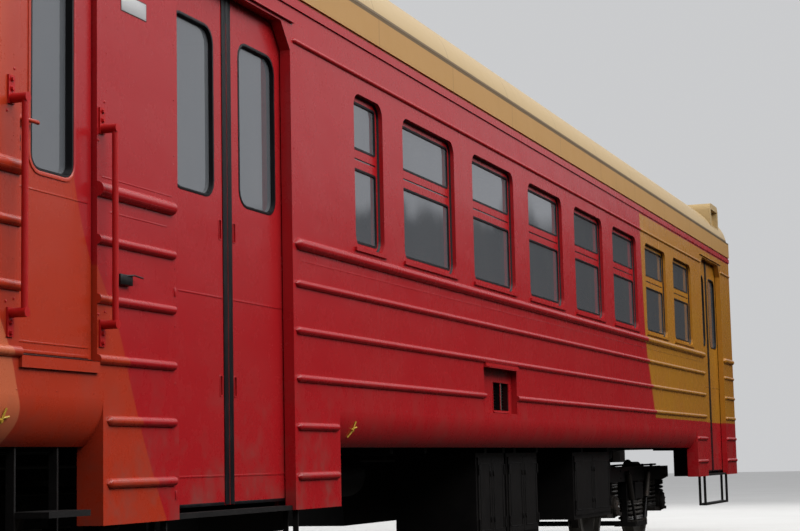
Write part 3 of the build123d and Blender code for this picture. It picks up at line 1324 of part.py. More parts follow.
def wheelset(x):
    """Axle with two wheels, turned about Y at x."""
    rim = TREAD_R - RIM_T
    web = (WHEEL_Y[0] + WHEEL_Y[1]) / 2
    profile = (
        # radius, y from the middle of the axle
        (0, 0),
        (AXLE_R, 0),
        (AXLE_R, WHEEL_Y[0] - HUB_OUT),
        (HUB_R, WHEEL_Y[0] - HUB_OUT),
        (HUB_R, web - WEB_T / 2),
        (rim, web - WEB_T / 2),
        (rim, WHEEL_Y[0]),
        (FLANGE_R, WHEEL_Y[0]),
        (FLANGE_R, WHEEL_Y[0] + FLANGE_T / 2),
        (TREAD_R, WHEEL_Y[0] + FLANGE_T),
        (TREAD_R, WHEEL_Y[1]),
        (rim, WHEEL_Y[1]),
        (rim, web + WEB_T / 2),
        (HUB_R, web + WEB_T / 2),
        (HUB_R, WHEEL_Y[1] + HUB_OUT),
        (JOURNAL_R, WHEEL_Y[1] + HUB_OUT),
        (JOURNAL_R, JOURNAL_END),
        (0, JOURNAL_END),
    )
    with BuildPart() as axle:
        with BuildSketch(Plane(origin=(x, 0, FLANGE_R), x_dir=(0, 0, 1), z_dir=(1, 0, 0))) as section:
            Polygon(*[(radius, -y) for radius, y in profile], align=None)
        revolve(section.sketch, axis=Axis((x, 0, FLANGE_R), (0, 1, 0)))
        mirror(about=Plane.XZ)
    return axle.part


def bogie_frame(x):
    """Frame of a bogie: side beams, end beams, transoms and the brackets of the brake hangers."""
    with BuildPart() as frame:
        top = SIDE_BEAM_Z[1]
        for way in (-1, 1):
            beam = sorted((way * SIDE_BEAM_Y[0], way * SIDE_BEAM_Y[1]))
            outline = (
                (x - FRAME_HALF, SIDE_BEAM_Z[0] + BEAM_RISE),
                (x - WHEELBASE_HALF - BEAM_SEAT, SIDE_BEAM_Z[0]),
                (x + WHEELBASE_HALF + BEAM_SEAT, SIDE_BEAM_Z[0]),
                (x + FRAME_HALF, SIDE_BEAM_Z[0] + BEAM_RISE),
                (x + FRAME_HALF, top),
                (x - FRAME_HALF, top),
            )
            side_prism(outline, *beam)
            span = sorted((x + way * TRANSOM_X[0], x + way * TRANSOM_X[1]))
            block(span, (-SIDE_BEAM_Y[0], SIDE_BEAM_Y[0]), TRANSOM_Z)
            end = sorted((x + way * (FRAME_HALF - END_BEAM_W), x + way * FRAME_HALF))
            block(end, (-SIDE_BEAM_Y[0], SIDE_BEAM_Y[0]), (SIDE_BEAM_Z[0] + BEAM_RISE, END_BEAM_TOP))
            for side in (-1, 1):
                bracket = sorted((x + way * TRANSOM_X[1], x + way * INNER_HANGER_X[1]))
                y = side * HANGER_AT_Y
                block(bracket, (y - HANGER_ROD / 2, y + HANGER_ROD / 2), BRACKET_Z)
                for half in (-1, 1):
                    guide = x + side * WHEELBASE_HALF + half * GUIDE_OFF
                    block(
                        (guide - GUIDE_T / 2, guide + GUIDE_T / 2),
                        (beam[0] + GUIDE_INSET, beam[1] - GUIDE_INSET),
                        (GUIDE_BOTTOM, SIDE_BEAM_Z[0]),
                    )
    return frame.part


def bogie_bolster(x):
    """Bolster with its centre plate, and the spring plank hung below it on swing links."""
    with BuildPart() as bolster:
        cross_prism(
            (
                (-BOLSTER_Y, BOLSTER_Z[0]),
                (BOLSTER_Y, BOLSTER_Z[0]),
                (BOLSTER_Y, BOLSTER_Z[1]),
                (BOLSTER_KNEE_Y, BOLSTER_Z[1]),
                (BOLSTER_HIP_Y, BOLSTER_TOP),
                (-BOLSTER_HIP_Y, BOLSTER_TOP),
                (-BOLSTER_KNEE_Y, BOLSTER_Z[1]),
                (-BOLSTER_Y, BOLSTER_Z[1]),
            ),
            x - BOLSTER_HALF,
            x + BOLSTER_HALF,
        )
        with BuildSketch(Plane.XY.offset(BOLSTER_TOP)) as plate:
            with Locations((x, 0)):
                Circle(CENTRE_PLATE_R)
        extrude(plate.sketch, amount=BODY_BOTTOM - CENTRE_GAP - BOLSTER_TOP)
        with BuildSketch(Plane.XY.offset(BODY_BOTTOM)) as bore:
            with Locations((x, 0)):
                Circle(PIVOT_R + CENTRE_GAP)
        extrude(bore.sketch, amount=-(PIVOT_L + PIVOT_FOOT), mode=Mode.SUBTRACT)
        for side in (-1, 1):
            plank = sorted((side * (SECONDARY_Y - PLANK_HALF), side * (SECONDARY_Y + PLANK_HALF)))
            block((x - PLANK_X, x + PLANK_X), plank, PLANK_Z)
            for way in (-1, 1):
                link = sorted((x + way * PLANK_X, x + way * (PLANK_X - LINK_T)))
                y = side * SECONDARY_Y
                block(link, (y - LINK_W / 2, y + LINK_W / 2), (PLANK_Z[0], SIDE_BEAM_Z[0]))
        block((x - PLANK_TIE, x + PLANK_TIE), (-SECONDARY_Y, SECONDARY_Y), PLANK_Z)
    return bolster.part


def axleboxes(x):
    """Four axleboxes with the wings that the springs stand on."""
    with BuildPart() as boxes:
        for axle in (x - WHEELBASE_HALF, x + WHEELBASE_HALF):
            for side in (-1, 1):
                start = Plane(origin=(0, side * BOX_Y[1], 0), x_dir=(1, 0, 0), z_dir=(0, -side, 0))
                with BuildSketch(start) as outline:
                    with Locations((axle, FLANGE_R * start.y_dir.Z)):
                        Circle(BOX_R)
                    with Locations((axle, (PRIMARY_BOTTOM - WING_T / 2) * start.y_dir.Z)):
                        Rectangle(2 * WING_REACH, WING_T)
                    with Locations((axle, (PRIMARY_BOTTOM + FLANGE_R) / 2 * start.y_dir.Z)):
                        Rectangle(2 * BOX_HALF, FLANGE_R - PRIMARY_BOTTOM + WING_T)
                extrude(outline.sketch, amount=BOX_Y[1] - BOX_Y[0])
                with BuildSketch(start.offset(-1)) as bore:
                    with Locations((axle, FLANGE_R * start.y_dir.Z)):
                        Circle(JOURNAL_R + JOURNAL_GAP)
                extrude(bore.sketch, amount=BOX_Y[1] - BOX_Y[0] + 2, mode=Mode.SUBTRACT)
                with BuildSketch(start.offset(-BOX_COVER)) as cover:
                    with Locations((axle, FLANGE_R * start.y_dir.Z)):
                        Circle(COVER_R)
                extrude(cover.sketch, amount=BOX_COVER)
    return boxes.part


def springs(x):
    """Springs of a bogie, each one closed cylinder of its outer size."""
    with BuildPart() as coils:
        for side in (-1, 1):
            for axle in (x - WHEELBASE_HALF, x + WHEELBASE_HALF):
                for half in (-1, 1):
                    at = (axle + half * PRIMARY_OFF, side * SECONDARY_Y)
                    bar((*at, PRIMARY_BOTTOM), (*at, SIDE_BEAM_Z[0]), PRIMARY_R)
            for half in (-1, 1):
                at = (x + half * SECONDARY_X, side * SECONDARY_Y)
                bar((*at, PLANK_Z[1]), (*at, BOLSTER_Z[0]), SECONDARY_R)
    return coils.part


def brake_gear(x):
    """Clasp brake: a shoe on either side of each wheel, beams across, and hangers to the frame."""
    inner = TREAD_R + SHOE_GAP
    outer = inner + SHOE_T
    level = FLANGE_R - inner * math.sin(math.radians(SHOE_TILT))
    beam_z = (level - BRAKE_BEAM_H / 2, level + BRAKE_BEAM_H / 2)
    with BuildPart() as gear:
        for axle_way in (-1, 1):
            axle = x + axle_way * WHEELBASE_HALF
            for way in (-1, 1):
                angles = [math.radians(-SHOE_TILT + turn) for turn in (-SHOE_ARC, 0, SHOE_ARC)]
                near = [(axle + way * inner * math.cos(a), FLANGE_R + inner * math.sin(a)) for a in angles]
                far = [(axle + way * outer * math.cos(a), FLANGE_R + outer * math.sin(a)) for a in angles]
                centre = way * (outer - SHOE_SEAT + HANGER_ROD / 2)
                rod = (axle + centre - HANGER_ROD / 2, axle + centre + HANGER_ROD / 2)
                top = SIDE_BEAM_Z[0] + BEAM_RISE if way == axle_way else BRACKET_Z[0]
                for side in (-1, 1):
                    y0, y1 = sorted((side * SHOE_Y[0], side * SHOE_Y[1]))
                    with BuildSketch(Plane(origin=(0, y1, 0), x_dir=(1, 0, 0), z_dir=(0, -1, 0))) as shoe:
                        with BuildLine():
                            ThreePointArc(*near)
                            Line(near[2], far[2])
                            ThreePointArc(*far)
                            Line(near[0], far[0])
                        make_face()
                    extrude(shoe.sketch, amount=y1 - y0)
                    y = side * HANGER_AT_Y
                    block(rod, (y - HANGER_ROD / 2, y + HANGER_ROD / 2), (beam_z[0], top))
                block(rod, (-HANGER_AT_Y, HANGER_AT_Y), beam_z)
    return gear.part


# Two bogies with two wheelsets each
BOGIE_PIECES = (
    (bogie_frame, "frame"),
    (bogie_bolster, "bolster"),
    (axleboxes, "axleboxes"),
    (springs, "springs"),
    (brake_gear, "brake_gear"),
)
for place, x in (("front", BOGIE_X), ("rear", -BOGIE_X)):
    for maker, ending in BOGIE_PIECES:
        with BuildPart() as bogie_piece:
            add(maker(x))
        finish(bogie_piece, f"{place}_bogie_{ending}")
    for way, ending in ((1, "lead"), (-1, "trail")):
        with BuildPart() as axle_piece:
            add(wheelset(x + way * WHEELBASE_HALF))
        finish(axle_piece, f"{place}_{ending}_wheelset")
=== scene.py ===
"""Looks of the electric train car: paint, glass, rubber, springs, seats and small fittings."""

import math

import bmesh
import bpy
from mathutils import Matrix, Vector
from mathutils.bvhtree import BVHTree


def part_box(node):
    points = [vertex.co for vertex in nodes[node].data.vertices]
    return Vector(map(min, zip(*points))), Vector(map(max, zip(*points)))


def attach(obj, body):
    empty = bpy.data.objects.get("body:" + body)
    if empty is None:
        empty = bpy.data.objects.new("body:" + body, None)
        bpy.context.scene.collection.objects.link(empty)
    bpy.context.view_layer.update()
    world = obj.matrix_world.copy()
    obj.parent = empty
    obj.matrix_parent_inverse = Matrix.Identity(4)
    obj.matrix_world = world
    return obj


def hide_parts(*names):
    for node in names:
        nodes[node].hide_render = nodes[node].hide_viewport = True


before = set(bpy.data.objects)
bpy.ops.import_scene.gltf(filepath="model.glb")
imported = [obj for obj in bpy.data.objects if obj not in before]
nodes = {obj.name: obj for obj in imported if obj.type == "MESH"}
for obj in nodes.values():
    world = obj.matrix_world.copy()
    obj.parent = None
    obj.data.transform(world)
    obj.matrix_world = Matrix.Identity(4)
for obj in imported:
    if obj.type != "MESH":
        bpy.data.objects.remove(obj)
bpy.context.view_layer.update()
bpy.context.scene.view_settings.view_transform = "Standard"


# Sizes in metres, where the solids have them

WALL_Y = 1.740
FLOOR_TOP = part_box("floor")[1].z
FASCIA_LOW = 3.632
GUTTER = (3.816, 3.878)
DOOR_CENTRES = {"front": 5.075, "rear": -8.425}
WALL_SKIN = 1.7398  # fittings start just inside the wall's face
HINGE_EDGE_X = 7.071
PITCH = 1.450  # of the windows, bench bays and roof seams
WINDOWS = [(2.120 - PITCH * i, 1.040) for i in range(7)] + [(3.240, 0.480), (7.850, 0.860)]
WINDOW_Z = (2.320, 3.270)
LEAF_WINDOW_Z = (2.385, 3.255)
SCREEN_Z = (2.330, 3.270)
BENCH_BAYS = [2.845 - PITCH * i for i in range(7)]
SERVICE_OPENING = (6.4805, 7.0795)
WALL_RIBS = (
    # height on the wall, half the bead's height, how far it stands out
    (1.501, 0.0220, 0.0225),
    (1.763, 0.0220, 0.0225),
    (2.022, 0.0220, 0.0225),
    (2.243, 0.0335, 0.0335),
    (3.383, 0.0150, 0.0160),
)
INTAKE_X = (0.300, 0.690)
INTAKE_Z = (1.405, 1.612)
BOGIES = {"front": 6.650, "rear": -6.650}
AXLE_Z = 0.503
AXLES = (-1.2, 1.2)  # from the bogie's middle
SIDES = {"left": 1, "right": -1}


# Colours, as seen in the photograph

def srgb(red, green, blue):
    """Linear colour of an 8-bit screen colour."""
    values = []
    for level in (red, green, blue):
        share = level / 255
        values.append(share / 12.92 if share < 0.04045 else ((share + 0.055) / 1.055) ** 2.4)
    return (*values, 1.0)


RED = srgb(158, 20, 26)
ORANGE = srgb(166, 48, 24)
BRIGHT_ORANGE = srgb(214, 92, 36)
PEACH = srgb(190, 96, 62)
YELLOW = srgb(164, 110, 30)
GOLD = srgb(166, 124, 66)
# Roof colour above the gutter: the roof's cream, made paler than the gold as a painted highlight on the shoulder
ROOF_CREAM_HIGHLIGHT = srgb(170, 144, 100)
# Dark brown-gold for the gutter band: painted shade in the groove between the fascia and the roof
PAINTED_GUTTER_SHADE = srgb(88, 66, 30)
GROOVE = srgb(82, 58, 22)
RAIL_RED = srgb(172, 20, 22)
LINING = srgb(196, 186, 162)
MOUTH_SHADE_BLACK = srgb(15, 14, 14)
DUST = srgb(86, 76, 66)


# Building of materials

class Shade:
    """A material while its nodes are made and linked."""

    def __init__(self, name, tree=None):
        self.tree = tree
        if tree is None:
            self.material = bpy.data.materials.new(name)
            self.material.use_nodes = True
            self.tree = self.material.node_tree
            self.shader = self.tree.nodes["Principled BSDF"]
        self.place = self.node("ShaderNodeTexCoord").outputs["Object" if tree is None else "Generated"]

    def node(self, kind, **settings):
        made = self.tree.nodes.new(kind)
        for key, value in settings.items():
            setattr(made, key, value)
        return made

    def put(self, socket, value):
        """Links a socket to another, or sets a plain value on it."""
        if isinstance(value, bpy.types.NodeSocket):
            self.tree.links.new(value, socket)
        else:
            socket.default_value = value

    def math(self, operation, first, second=0.0):
        made = self.node("ShaderNodeMath", operation=operation)
        self.put(made.inputs[0], first)
        self.put(made.inputs[1], second)
        return made.outputs[0]

    def times(self, first, second):
        return self.math("MULTIPLY", first, second)

    def xyz(self, vector=None):
        made = self.node("ShaderNodeSeparateXYZ")
        self.put(made.inputs[0], vector or self.place)
        return made.outputs

    def step(self, value, low, high):
        """0 below low and 1 above high, with a soft change between."""
        made = self.node("ShaderNodeMapRange", interpolation_type="SMOOTHSTEP")
        self.put(made.inputs["Value"], value)
        self.put(made.inputs["From Min"], low)
        self.put(made.inputs["From Max"], high)
        return made.outputs[0]

    def span(self, value, low, high, blur=0.003):
        """1 between low and high, and 0 outside."""
        above = self.step(value, low - blur, low + blur)
        below = self.step(value, high - blur, high + blur)
        return self.math("SUBTRACT", above, below)

    def mix(self, share, first, second):
        made = self.node("ShaderNodeMix", data_type="RGBA")
        self.put(made.inputs[0], share)
        self.put(made.inputs[6], first)
        self.put(made.inputs[7], second)
        return made.outputs[2]

    def blend(self, share, first, second):
        """Plain numbers mixed by a share."""
        made = self.node("ShaderNodeMix", data_type="FLOAT")
        self.put(made.inputs[0], share)
        self.put(made.inputs[2], first)
        self.put(made.inputs[3], second)
        return made.outputs[0]

    def texture(self, kind, scale, stretch):
        """Texture node over the place, stretched along the axes."""
        mapping = self.node("ShaderNodeMapping")
        self.put(mapping.inputs["Vector"], self.place)
        mapping.inputs["Scale"].default_value = stretch
        made = self.node(kind)
        self.put(made.inputs["Vector"], mapping.outputs[0])
        made.inputs["Scale"].default_value = scale
        return made

    def noise(self, scale, detail=4.0, roughness=0.55, stretch=(1, 1, 1)):
        made = self.texture("ShaderNodeTexNoise", scale, stretch)
        made.inputs["Detail"].default_value = detail
        made.inputs["Roughness"].default_value = roughness
        return made.outputs["Fac"]

    def cells(self, scale):
        return self.texture("ShaderNodeTexVoronoi", scale, (1, 1, 1)).outputs["Distance"]

    def bump(self, height, depth, normal=None, strength=1.0):
        made = self.node("ShaderNodeBump")
        self.put(made.inputs["Height"], height)
        made.inputs["Distance"].default_value = depth
        made.inputs["Strength"].default_value = strength
        if normal is not None:
            self.put(made.inputs["Normal"], normal)
        return made.outputs[0]

    def finish(self, **values):
        for name, value in values.items():
            self.put(self.shader.inputs[name.replace("_", " ")], value)
        return self.material


def boundary(shade, height, points):
    """X of a colour boundary at a height, through (height, X) points from low to high."""
    lows = [min(p[i] for p in points) for i in (0, 1)]
    spans = [max(p[i] for p in points) - lows[i] for i in (0, 1)]
    share = shade.math("DIVIDE", shade.math("SUBTRACT", height, lows[0]), spans[0])
    curve = shade.node("ShaderNodeFloatCurve")
    line = curve.mapping.curves[0]
    for i, (z, x) in enumerate(points):
        place = ((z - lows[0]) / spans[0], (x - lows[1]) / spans[1])
        if i in (0, len(points) - 1):
            line.points[0 if i == 0 else -1].location = place
        else:
            line.points.new(*place)
    curve.mapping.update()
    shade.put(curve.inputs["Value"], share)
    return shade.math("ADD", shade.times(curve.outputs[0], spans[1]), lows[1])


LINE_BLUR = 0.004
FLAME_RED = (
    # height, X where red gives way to orange
    (0.79, 5.86), (1.02, 6.00), (1.33, 6.16), (1.63, 6.29), (2.00, 6.53), (2.30, 6.64), (3.00, 6.86), (3.62, 7.12),
)
FLAME_PEACH = (
    # height, X where orange gives way to peach
    (0.79, 7.14), (1.15, 7.08), (1.25, 7.06), (1.35, 7.09), (1.50, 7.14), (1.62, 7.21), (1.90, 7.40), (2.60, 7.85),
    (3.62, 8.60),
)
TAIL_YELLOW = (
    # height, X where red gives way to yellow
    (1.43, -4.87), (1.52, -4.82), (1.83, -4.68), (2.24, -4.51), (2.65, -4.46), (3.35, -4.42), (3.62, -4.41),
)


def livery(shade):
    """Outside colour of the body at each place."""
    x, y, z = shade.xyz()
    past_red, past_peach, past_tail = (
        shade.step(shade.math("SUBTRACT", x, boundary(shade, z, line)), -LINE_BLUR, LINE_BLUR)
        for line in (FLAME_RED, FLAME_PEACH, TAIL_YELLOW)
    )
    bright = shade.times(shade.step(x, 7.1, 7.5), shade.step(z, 2.1, 3.0))
    colour = shade.mix(past_red, RED, shade.mix(bright, ORANGE, BRIGHT_ORANGE))
    colour = shade.mix(past_peach, colour, PEACH)
    colour = shade.mix(shade.step(x, 8.7, 9.5), colour, YELLOW)
    tail = shade.math("SUBTRACT", 1.0, past_tail)
    colour = shade.mix(shade.times(tail, shade.span(z, 1.44, 3.552)), colour, YELLOW)
    return colour, x, y, z


def weather(shade, colour, z):
    """Fading, streaks and road dirt over a paint colour. Gives the colour and the dirt's share."""
    streaks = shade.step(shade.noise(9, 3, stretch=(1, 1, 0.05)), 0.58, 0.82)
    low = shade.math("SUBTRACT", 1.0, shade.step(z, 0.72, 1.7))
    patches = shade.step(shade.noise(5, 6, 0.7), 0.42, 0.78)
    dirt = shade.times(shade.math("ADD", low, 0.10), patches)
    dirt = shade.math("ADD", shade.times(dirt, 0.42), shade.times(streaks, 0.04))
    fade = shade.times(shade.step(shade.noise(1.1, 3, stretch=(1, 1, 2)), 0.35, 0.75), 0.12)
    colour = shade.mix(fade, colour, srgb(150, 60, 56))
    return shade.mix(dirt, colour, DUST), dirt


def paint_bump(shade):
    """Uneven sheet metal under brushed enamel."""
    dents = shade.bump(shade.noise(1.7, 2), 0.008)
    brush = shade.bump(shade.noise(150, 2, stretch=(0.05, 0.05, 1)), 0.0002, dents)
    return shade.bump(shade.noise(420, 2), 0.00015, brush)


def facing_in(shade, x, y):
    """1 on faces of the body shell that look into the car."""
    normal = shade.node("ShaderNodeVectorTransform", vector_type="NORMAL", convert_from="WORLD", convert_to="OBJECT")
    shade.put(normal.inputs[0], shade.node("ShaderNodeNewGeometry").outputs["Normal"])
    nx, ny = shade.xyz(normal.outputs[0])[:2]
    across = shade.times(shade.times(ny, shade.math("SIGN", y)), -1.0)
    along = shade.times(shade.times(nx, shade.math("SIGN", x)), -1.0)
    middle = shade.math("LESS_THAN", shade.math("ABSOLUTE", y), 1.6)
    ends = shade.math("GREATER_THAN", shade.math("ABSOLUTE", x), 8.65)
    along = shade.times(along, shade.times(middle, ends))
    return shade.math("GREATER_THAN", shade.math("MAXIMUM", across, along), 0.35)


def body_paint():
    shade = Shade("body_paint")
    colour, x, y, z = livery(shade)
    colour = shade.mix(shade.step(z, FASCIA_LOW - 0.001, FASCIA_LOW + 0.001), colour, GOLD)
    # The gutter band is painted dark brown-gold: painted shade in the groove between the fascia and the roof
    colour = shade.mix(shade.span(z, *GUTTER), colour, PAINTED_GUTTER_SHADE)
    colour, dirt = weather(shade, colour, z)
    # The inside of the low intakes' mouths is painted black: painted shade in the recess behind the grilles
    mouth = shade.times(shade.span(x, 0.298, 0.692), shade.span(z, 1.403, 1.614))
    mouth = shade.times(mouth, shade.math("LESS_THAN", shade.math("ABSOLUTE", y), 1.6935))
    colour = shade.mix(mouth, colour, MOUTH_SHADE_BLACK)
    grain = shade.mix(shade.noise(60, 3, stretch=(0.1, 0.1, 1)), LINING, srgb(176, 162, 134))
    inside = facing_in(shade, x, y)
    rough = shade.blend(inside, shade.blend(dirt, 0.27, 0.62), 0.6)
    return shade.finish(
        Base_Color=shade.mix(inside, colour, grain), Roughness=rough, Normal=paint_bump(shade), Coat_Weight=0.05,
        Coat_Roughness=0.1, Specular_IOR_Level=0.38,
    )


def roof_paint():
    shade = Shade("roof_paint")
    x, y, z = shade.xyz()
    side = shade.math("ABSOLUTE", y)
    # Above the gutter the roof is painted a paler cream than the gold fascia: the roof's own colour with a painted
    # highlight on the shoulder
    colour = shade.mix(shade.step(z, GUTTER[1] - 0.004, GUTTER[1] + 0.004), GOLD, ROOF_CREAM_HIGHLIGHT)
    # The gutter band is painted dark brown-gold: painted shade in the groove between the fascia and the roof
    colour = shade.mix(shade.span(z, *GUTTER), colour, PAINTED_GUTTER_SHADE)
    seams = shade.math("FRACT", shade.math("DIVIDE", shade.math("ADD", x, 10.0), PITCH))
    colour = shade.mix(shade.times(shade.span(seams, 0.0, 0.006, 0.001), 0.5), colour, GROOVE)
    crown = shade.math("SUBTRACT", 1.0, shade.step(side, 0.6, 1.5))
    soot = shade.times(crown, shade.step(shade.noise(2.2, 8, 0.7, (0.8, 1, 1)), 0.3, 0.8))
    colour = shade.mix(shade.times(soot, 0.55), colour, srgb(112, 102, 88))
    streaks = shade.step(shade.noise(7, 3, stretch=(1, 0.15, 0.15)), 0.58, 0.85)
    colour = shade.mix(shade.times(streaks, 0.22), colour, srgb(120, 96, 56))
    return shade.finish(
        Base_Color=colour, Roughness=shade.blend(soot, 0.42, 0.8), Normal=paint_bump(shade), Coat_Weight=0.04,
        Coat_Roughness=0.15, Specular_IOR_Level=0.32,
    )


def plain_paint(name, colour, dusty, roughness=0.42, dust_colour=DUST, grain=220, specular=0.5):
    """One colour of paint or metal with dust and fine grain."""
    shade = Shade(name)
    dust = shade.step(shade.noise(3.5, 8, 0.65), 0.42, 0.8)
    specks = shade.step(shade.noise(30, 4, 0.7), 0.5, 0.85)
    share = shade.times(shade.math("ADD", dust, shade.times(specks, 0.5)), dusty)
    tone = shade.mix(shade.times(shade.noise(8), 0.25), colour, dust_colour)
    normal = shade.bump(shade.noise(grain, 3), 0.0006)
    return shade.finish(
        Base_Color=shade.mix(share, tone, dust_colour), Roughness=shade.blend(share, roughness, 0.85),
        Normal=shade.bump(shade.noise(12, 3), 0.002, normal), Specular_IOR_Level=specular,
    )


def metal(name, colour, roughness, rust=0.3):
    shade = Shade(name)
    stain = shade.step(shade.noise(7, 8, 0.7), 0.45, 0.8)
    share = shade.times(stain, rust)
    normal = shade.bump(shade.noise(180, 3), 0.0006)
    return shade.finish(
        Base_Color=shade.mix(share, colour, srgb(84, 52, 34)), Metallic=shade.blend(share, 0.85, 0.2),
        Roughness=shade.blend(share, roughness, 0.8), Normal=normal,
    )


def rubber():
    shade = Shade("black_rubber")
    chalk = shade.step(shade.noise(18, 5, stretch=(1, 1, 0.3)), 0.45, 0.85)
    normal = shade.bump(shade.noise(260, 2), 0.0004)
    return shade.finish(
        Base_Color=shade.mix(shade.times(chalk, 0.12), srgb(9, 9, 12), srgb(44, 44, 48)),
        Roughness=shade.blend(chalk, 0.38, 0.7), Normal=normal, Specular_IOR_Level=0.22,
    )


def glass():
    shade = Shade("window_glass")
    smear = shade.step(shade.noise(4, 6, 0.7, (1, 1, 0.5)), 0.4, 0.85)
    grime = shade.times(smear, 0.16)
    normal = shade.bump(shade.noise(1.3, 1), 0.002)
    # The pane's grey base colour is a painted reflection that lightens the glass; the smears mixed over it are dirt
    return shade.finish(
        Base_Color=shade.mix(grime, srgb(98, 101, 105), srgb(132, 129, 122)), Roughness=shade.blend(grime, 0.02, 0.3),
        Alpha=shade.blend(grime, 0.78, 0.95), Normal=normal, Coat_Weight=1.0, Coat_Roughness=0.02,
        Specular_IOR_Level=1.0,
    )


def lamp_glass(name, colour):
    shade = Shade(name)
    flutes = shade.bump(shade.noise(70, 1, stretch=(0.01, 1, 0.01)), 0.004)
    dust = shade.times(shade.step(shade.noise(9, 6), 0.4, 0.8), 0.3)
    return shade.finish(
        Base_Color=shade.mix(dust, colour, DUST), Roughness=shade.blend(dust, 0.06, 0.5), Normal=flutes,
        Transmission_Weight=0.75, Coat_Weight=0.6,
    )


def laminate(name, colour, second):
    shade = Shade(name)
    grain = shade.noise(26, 5, 0.6, (0.15, 0.15, 1.6))
    scuffs = shade.step(shade.noise(11, 7, 0.7), 0.55, 0.9)
    tone = shade.mix(grain, colour, second)
    return shade.finish(
        Base_Color=shade.mix(shade.times(scuffs, 0.25), tone, DUST), Roughness=shade.blend(scuffs, 0.35, 0.6),
        Normal=shade.bump(grain, 0.0004),
    )


def leather(name, colour):
    shade = Shade(name)
    pores = shade.cells(320)
    wear = shade.step(shade.noise(6, 6), 0.45, 0.8)
    folds = shade.bump(shade.noise(14, 3), 0.004)
    return shade.finish(
        Base_Color=shade.mix(shade.times(wear, 0.35), colour, srgb(150, 96, 66)),
        Roughness=shade.blend(wear, 0.45, 0.3), Normal=shade.bump(pores, 0.0006, folds),
    )


def floor_paint():
    shade = Shade("studio_floor")
    patches = shade.noise(0.6, 6, 0.6)
    return shade.finish(
        Base_Color=shade.mix(patches, srgb(206, 204, 200), srgb(222, 221, 218)), Roughness=0.85,
        Normal=shade.bump(shade.noise(30, 6), 0.001),
    )


BODY = body_paint()
ROOF = roof_paint()
RUBBER = rubber()
GLASS = glass()
CHASSIS = plain_paint("chassis_paint", srgb(11, 10, 11), 0.14, 0.5, srgb(52, 47, 43), specular=0.25)
CABINET = plain_paint("cabinet_paint", srgb(10, 9, 10), 0.10, 0.36, srgb(48, 44, 40), specular=0.2)
CAST = metal("cast_steel", srgb(62, 58, 54), 0.6, 0.5)
STEEL = metal("worn_steel", srgb(150, 146, 140), 0.32, 0.35)
SPRING_STEEL = plain_paint("spring_paint", srgb(38, 37, 36), 0.4, 0.4)
HANDRAIL = plain_paint("handrail_paint", RAIL_RED, 0.05, 0.3, srgb(120, 40, 34), specular=0.25)
WALL_LAMINATE = laminate("wall_laminate", srgb(206, 196, 172), srgb(186, 170, 140))
CEILING_PANEL = laminate("ceiling_panel", srgb(226, 224, 216), srgb(214, 210, 200))
DESK = laminate("desk_laminate", srgb(84, 96, 92), srgb(70, 82, 80))
LINO = laminate("floor_covering", srgb(96, 74, 60), srgb(78, 60, 50))
SEAT = leather("seat_covering", srgb(112, 54, 36))
WHITE_LENS = lamp_glass("white_lens", srgb(226, 226, 216))
PALE_PLATE = plain_paint("pale_plate", srgb(176, 176, 176), 0.2, 0.3, srgb(140, 132, 124))
FRAME_GREY = plain_paint("frame_enamel", srgb(96, 100, 100), 0.12, 0.4)
DARK_METAL = plain_paint("dark_enamel", srgb(30, 30, 31), 0.18, 0.4)
LAMP_COVER = plain_paint("lamp_cover", srgb(226, 224, 214), 0.10, 0.35, srgb(180, 170, 150))
LEVER_YELLOW = plain_paint("lever_paint", srgb(196, 160, 40), 0.25, 0.45)
RED_LENS = lamp_glass("red_lens", srgb(150, 16, 14))

NODE_MATERIALS = {
    "side_panels": BODY, "cantrails": BODY, "roof": ROOF, "cab_front": BODY, "end_wall": BODY,
    "gangway": RUBBER, "floor": LINO, "underframe": CHASSIS, "couplers": CAST, "plough": BODY,
    "steps": CHASSIS, "window_frames": BODY, "window_glass": GLASS, "partitions": WALL_LAMINATE,
    "ceiling": CEILING_PANEL, "benches": SEAT, "cab_fittings": DESK, "handrails": HANDRAIL,
    "lamps": WHITE_LENS, "equipment_boxes": CABINET, "air_reservoirs": CHASSIS, "brake_pipe": CHASSIS,
    "leaf": BODY, "pane": GLASS, "door": BODY, "bogie_frame": CHASSIS, "bogie_bolster": CHASSIS,
    "axleboxes": CAST, "springs": SPRING_STEEL, "brake_gear": CAST, "wheelset": STEEL,
}


def material_of(name):
    """The material for a CAD node: the entry with the longest key found in its name."""
    keys = [key for key in NODE_MATERIALS if key in name]
    return NODE_MATERIALS[max(keys, key=len)]


for name, node in nodes.items():
    for place in node.material_slots:
        place.material = material_of(name)


# Building of pieces

def in_scene(name, data):
    made = bpy.data.objects.new(name, data)
    bpy.context.collection.objects.link(made)
    return made


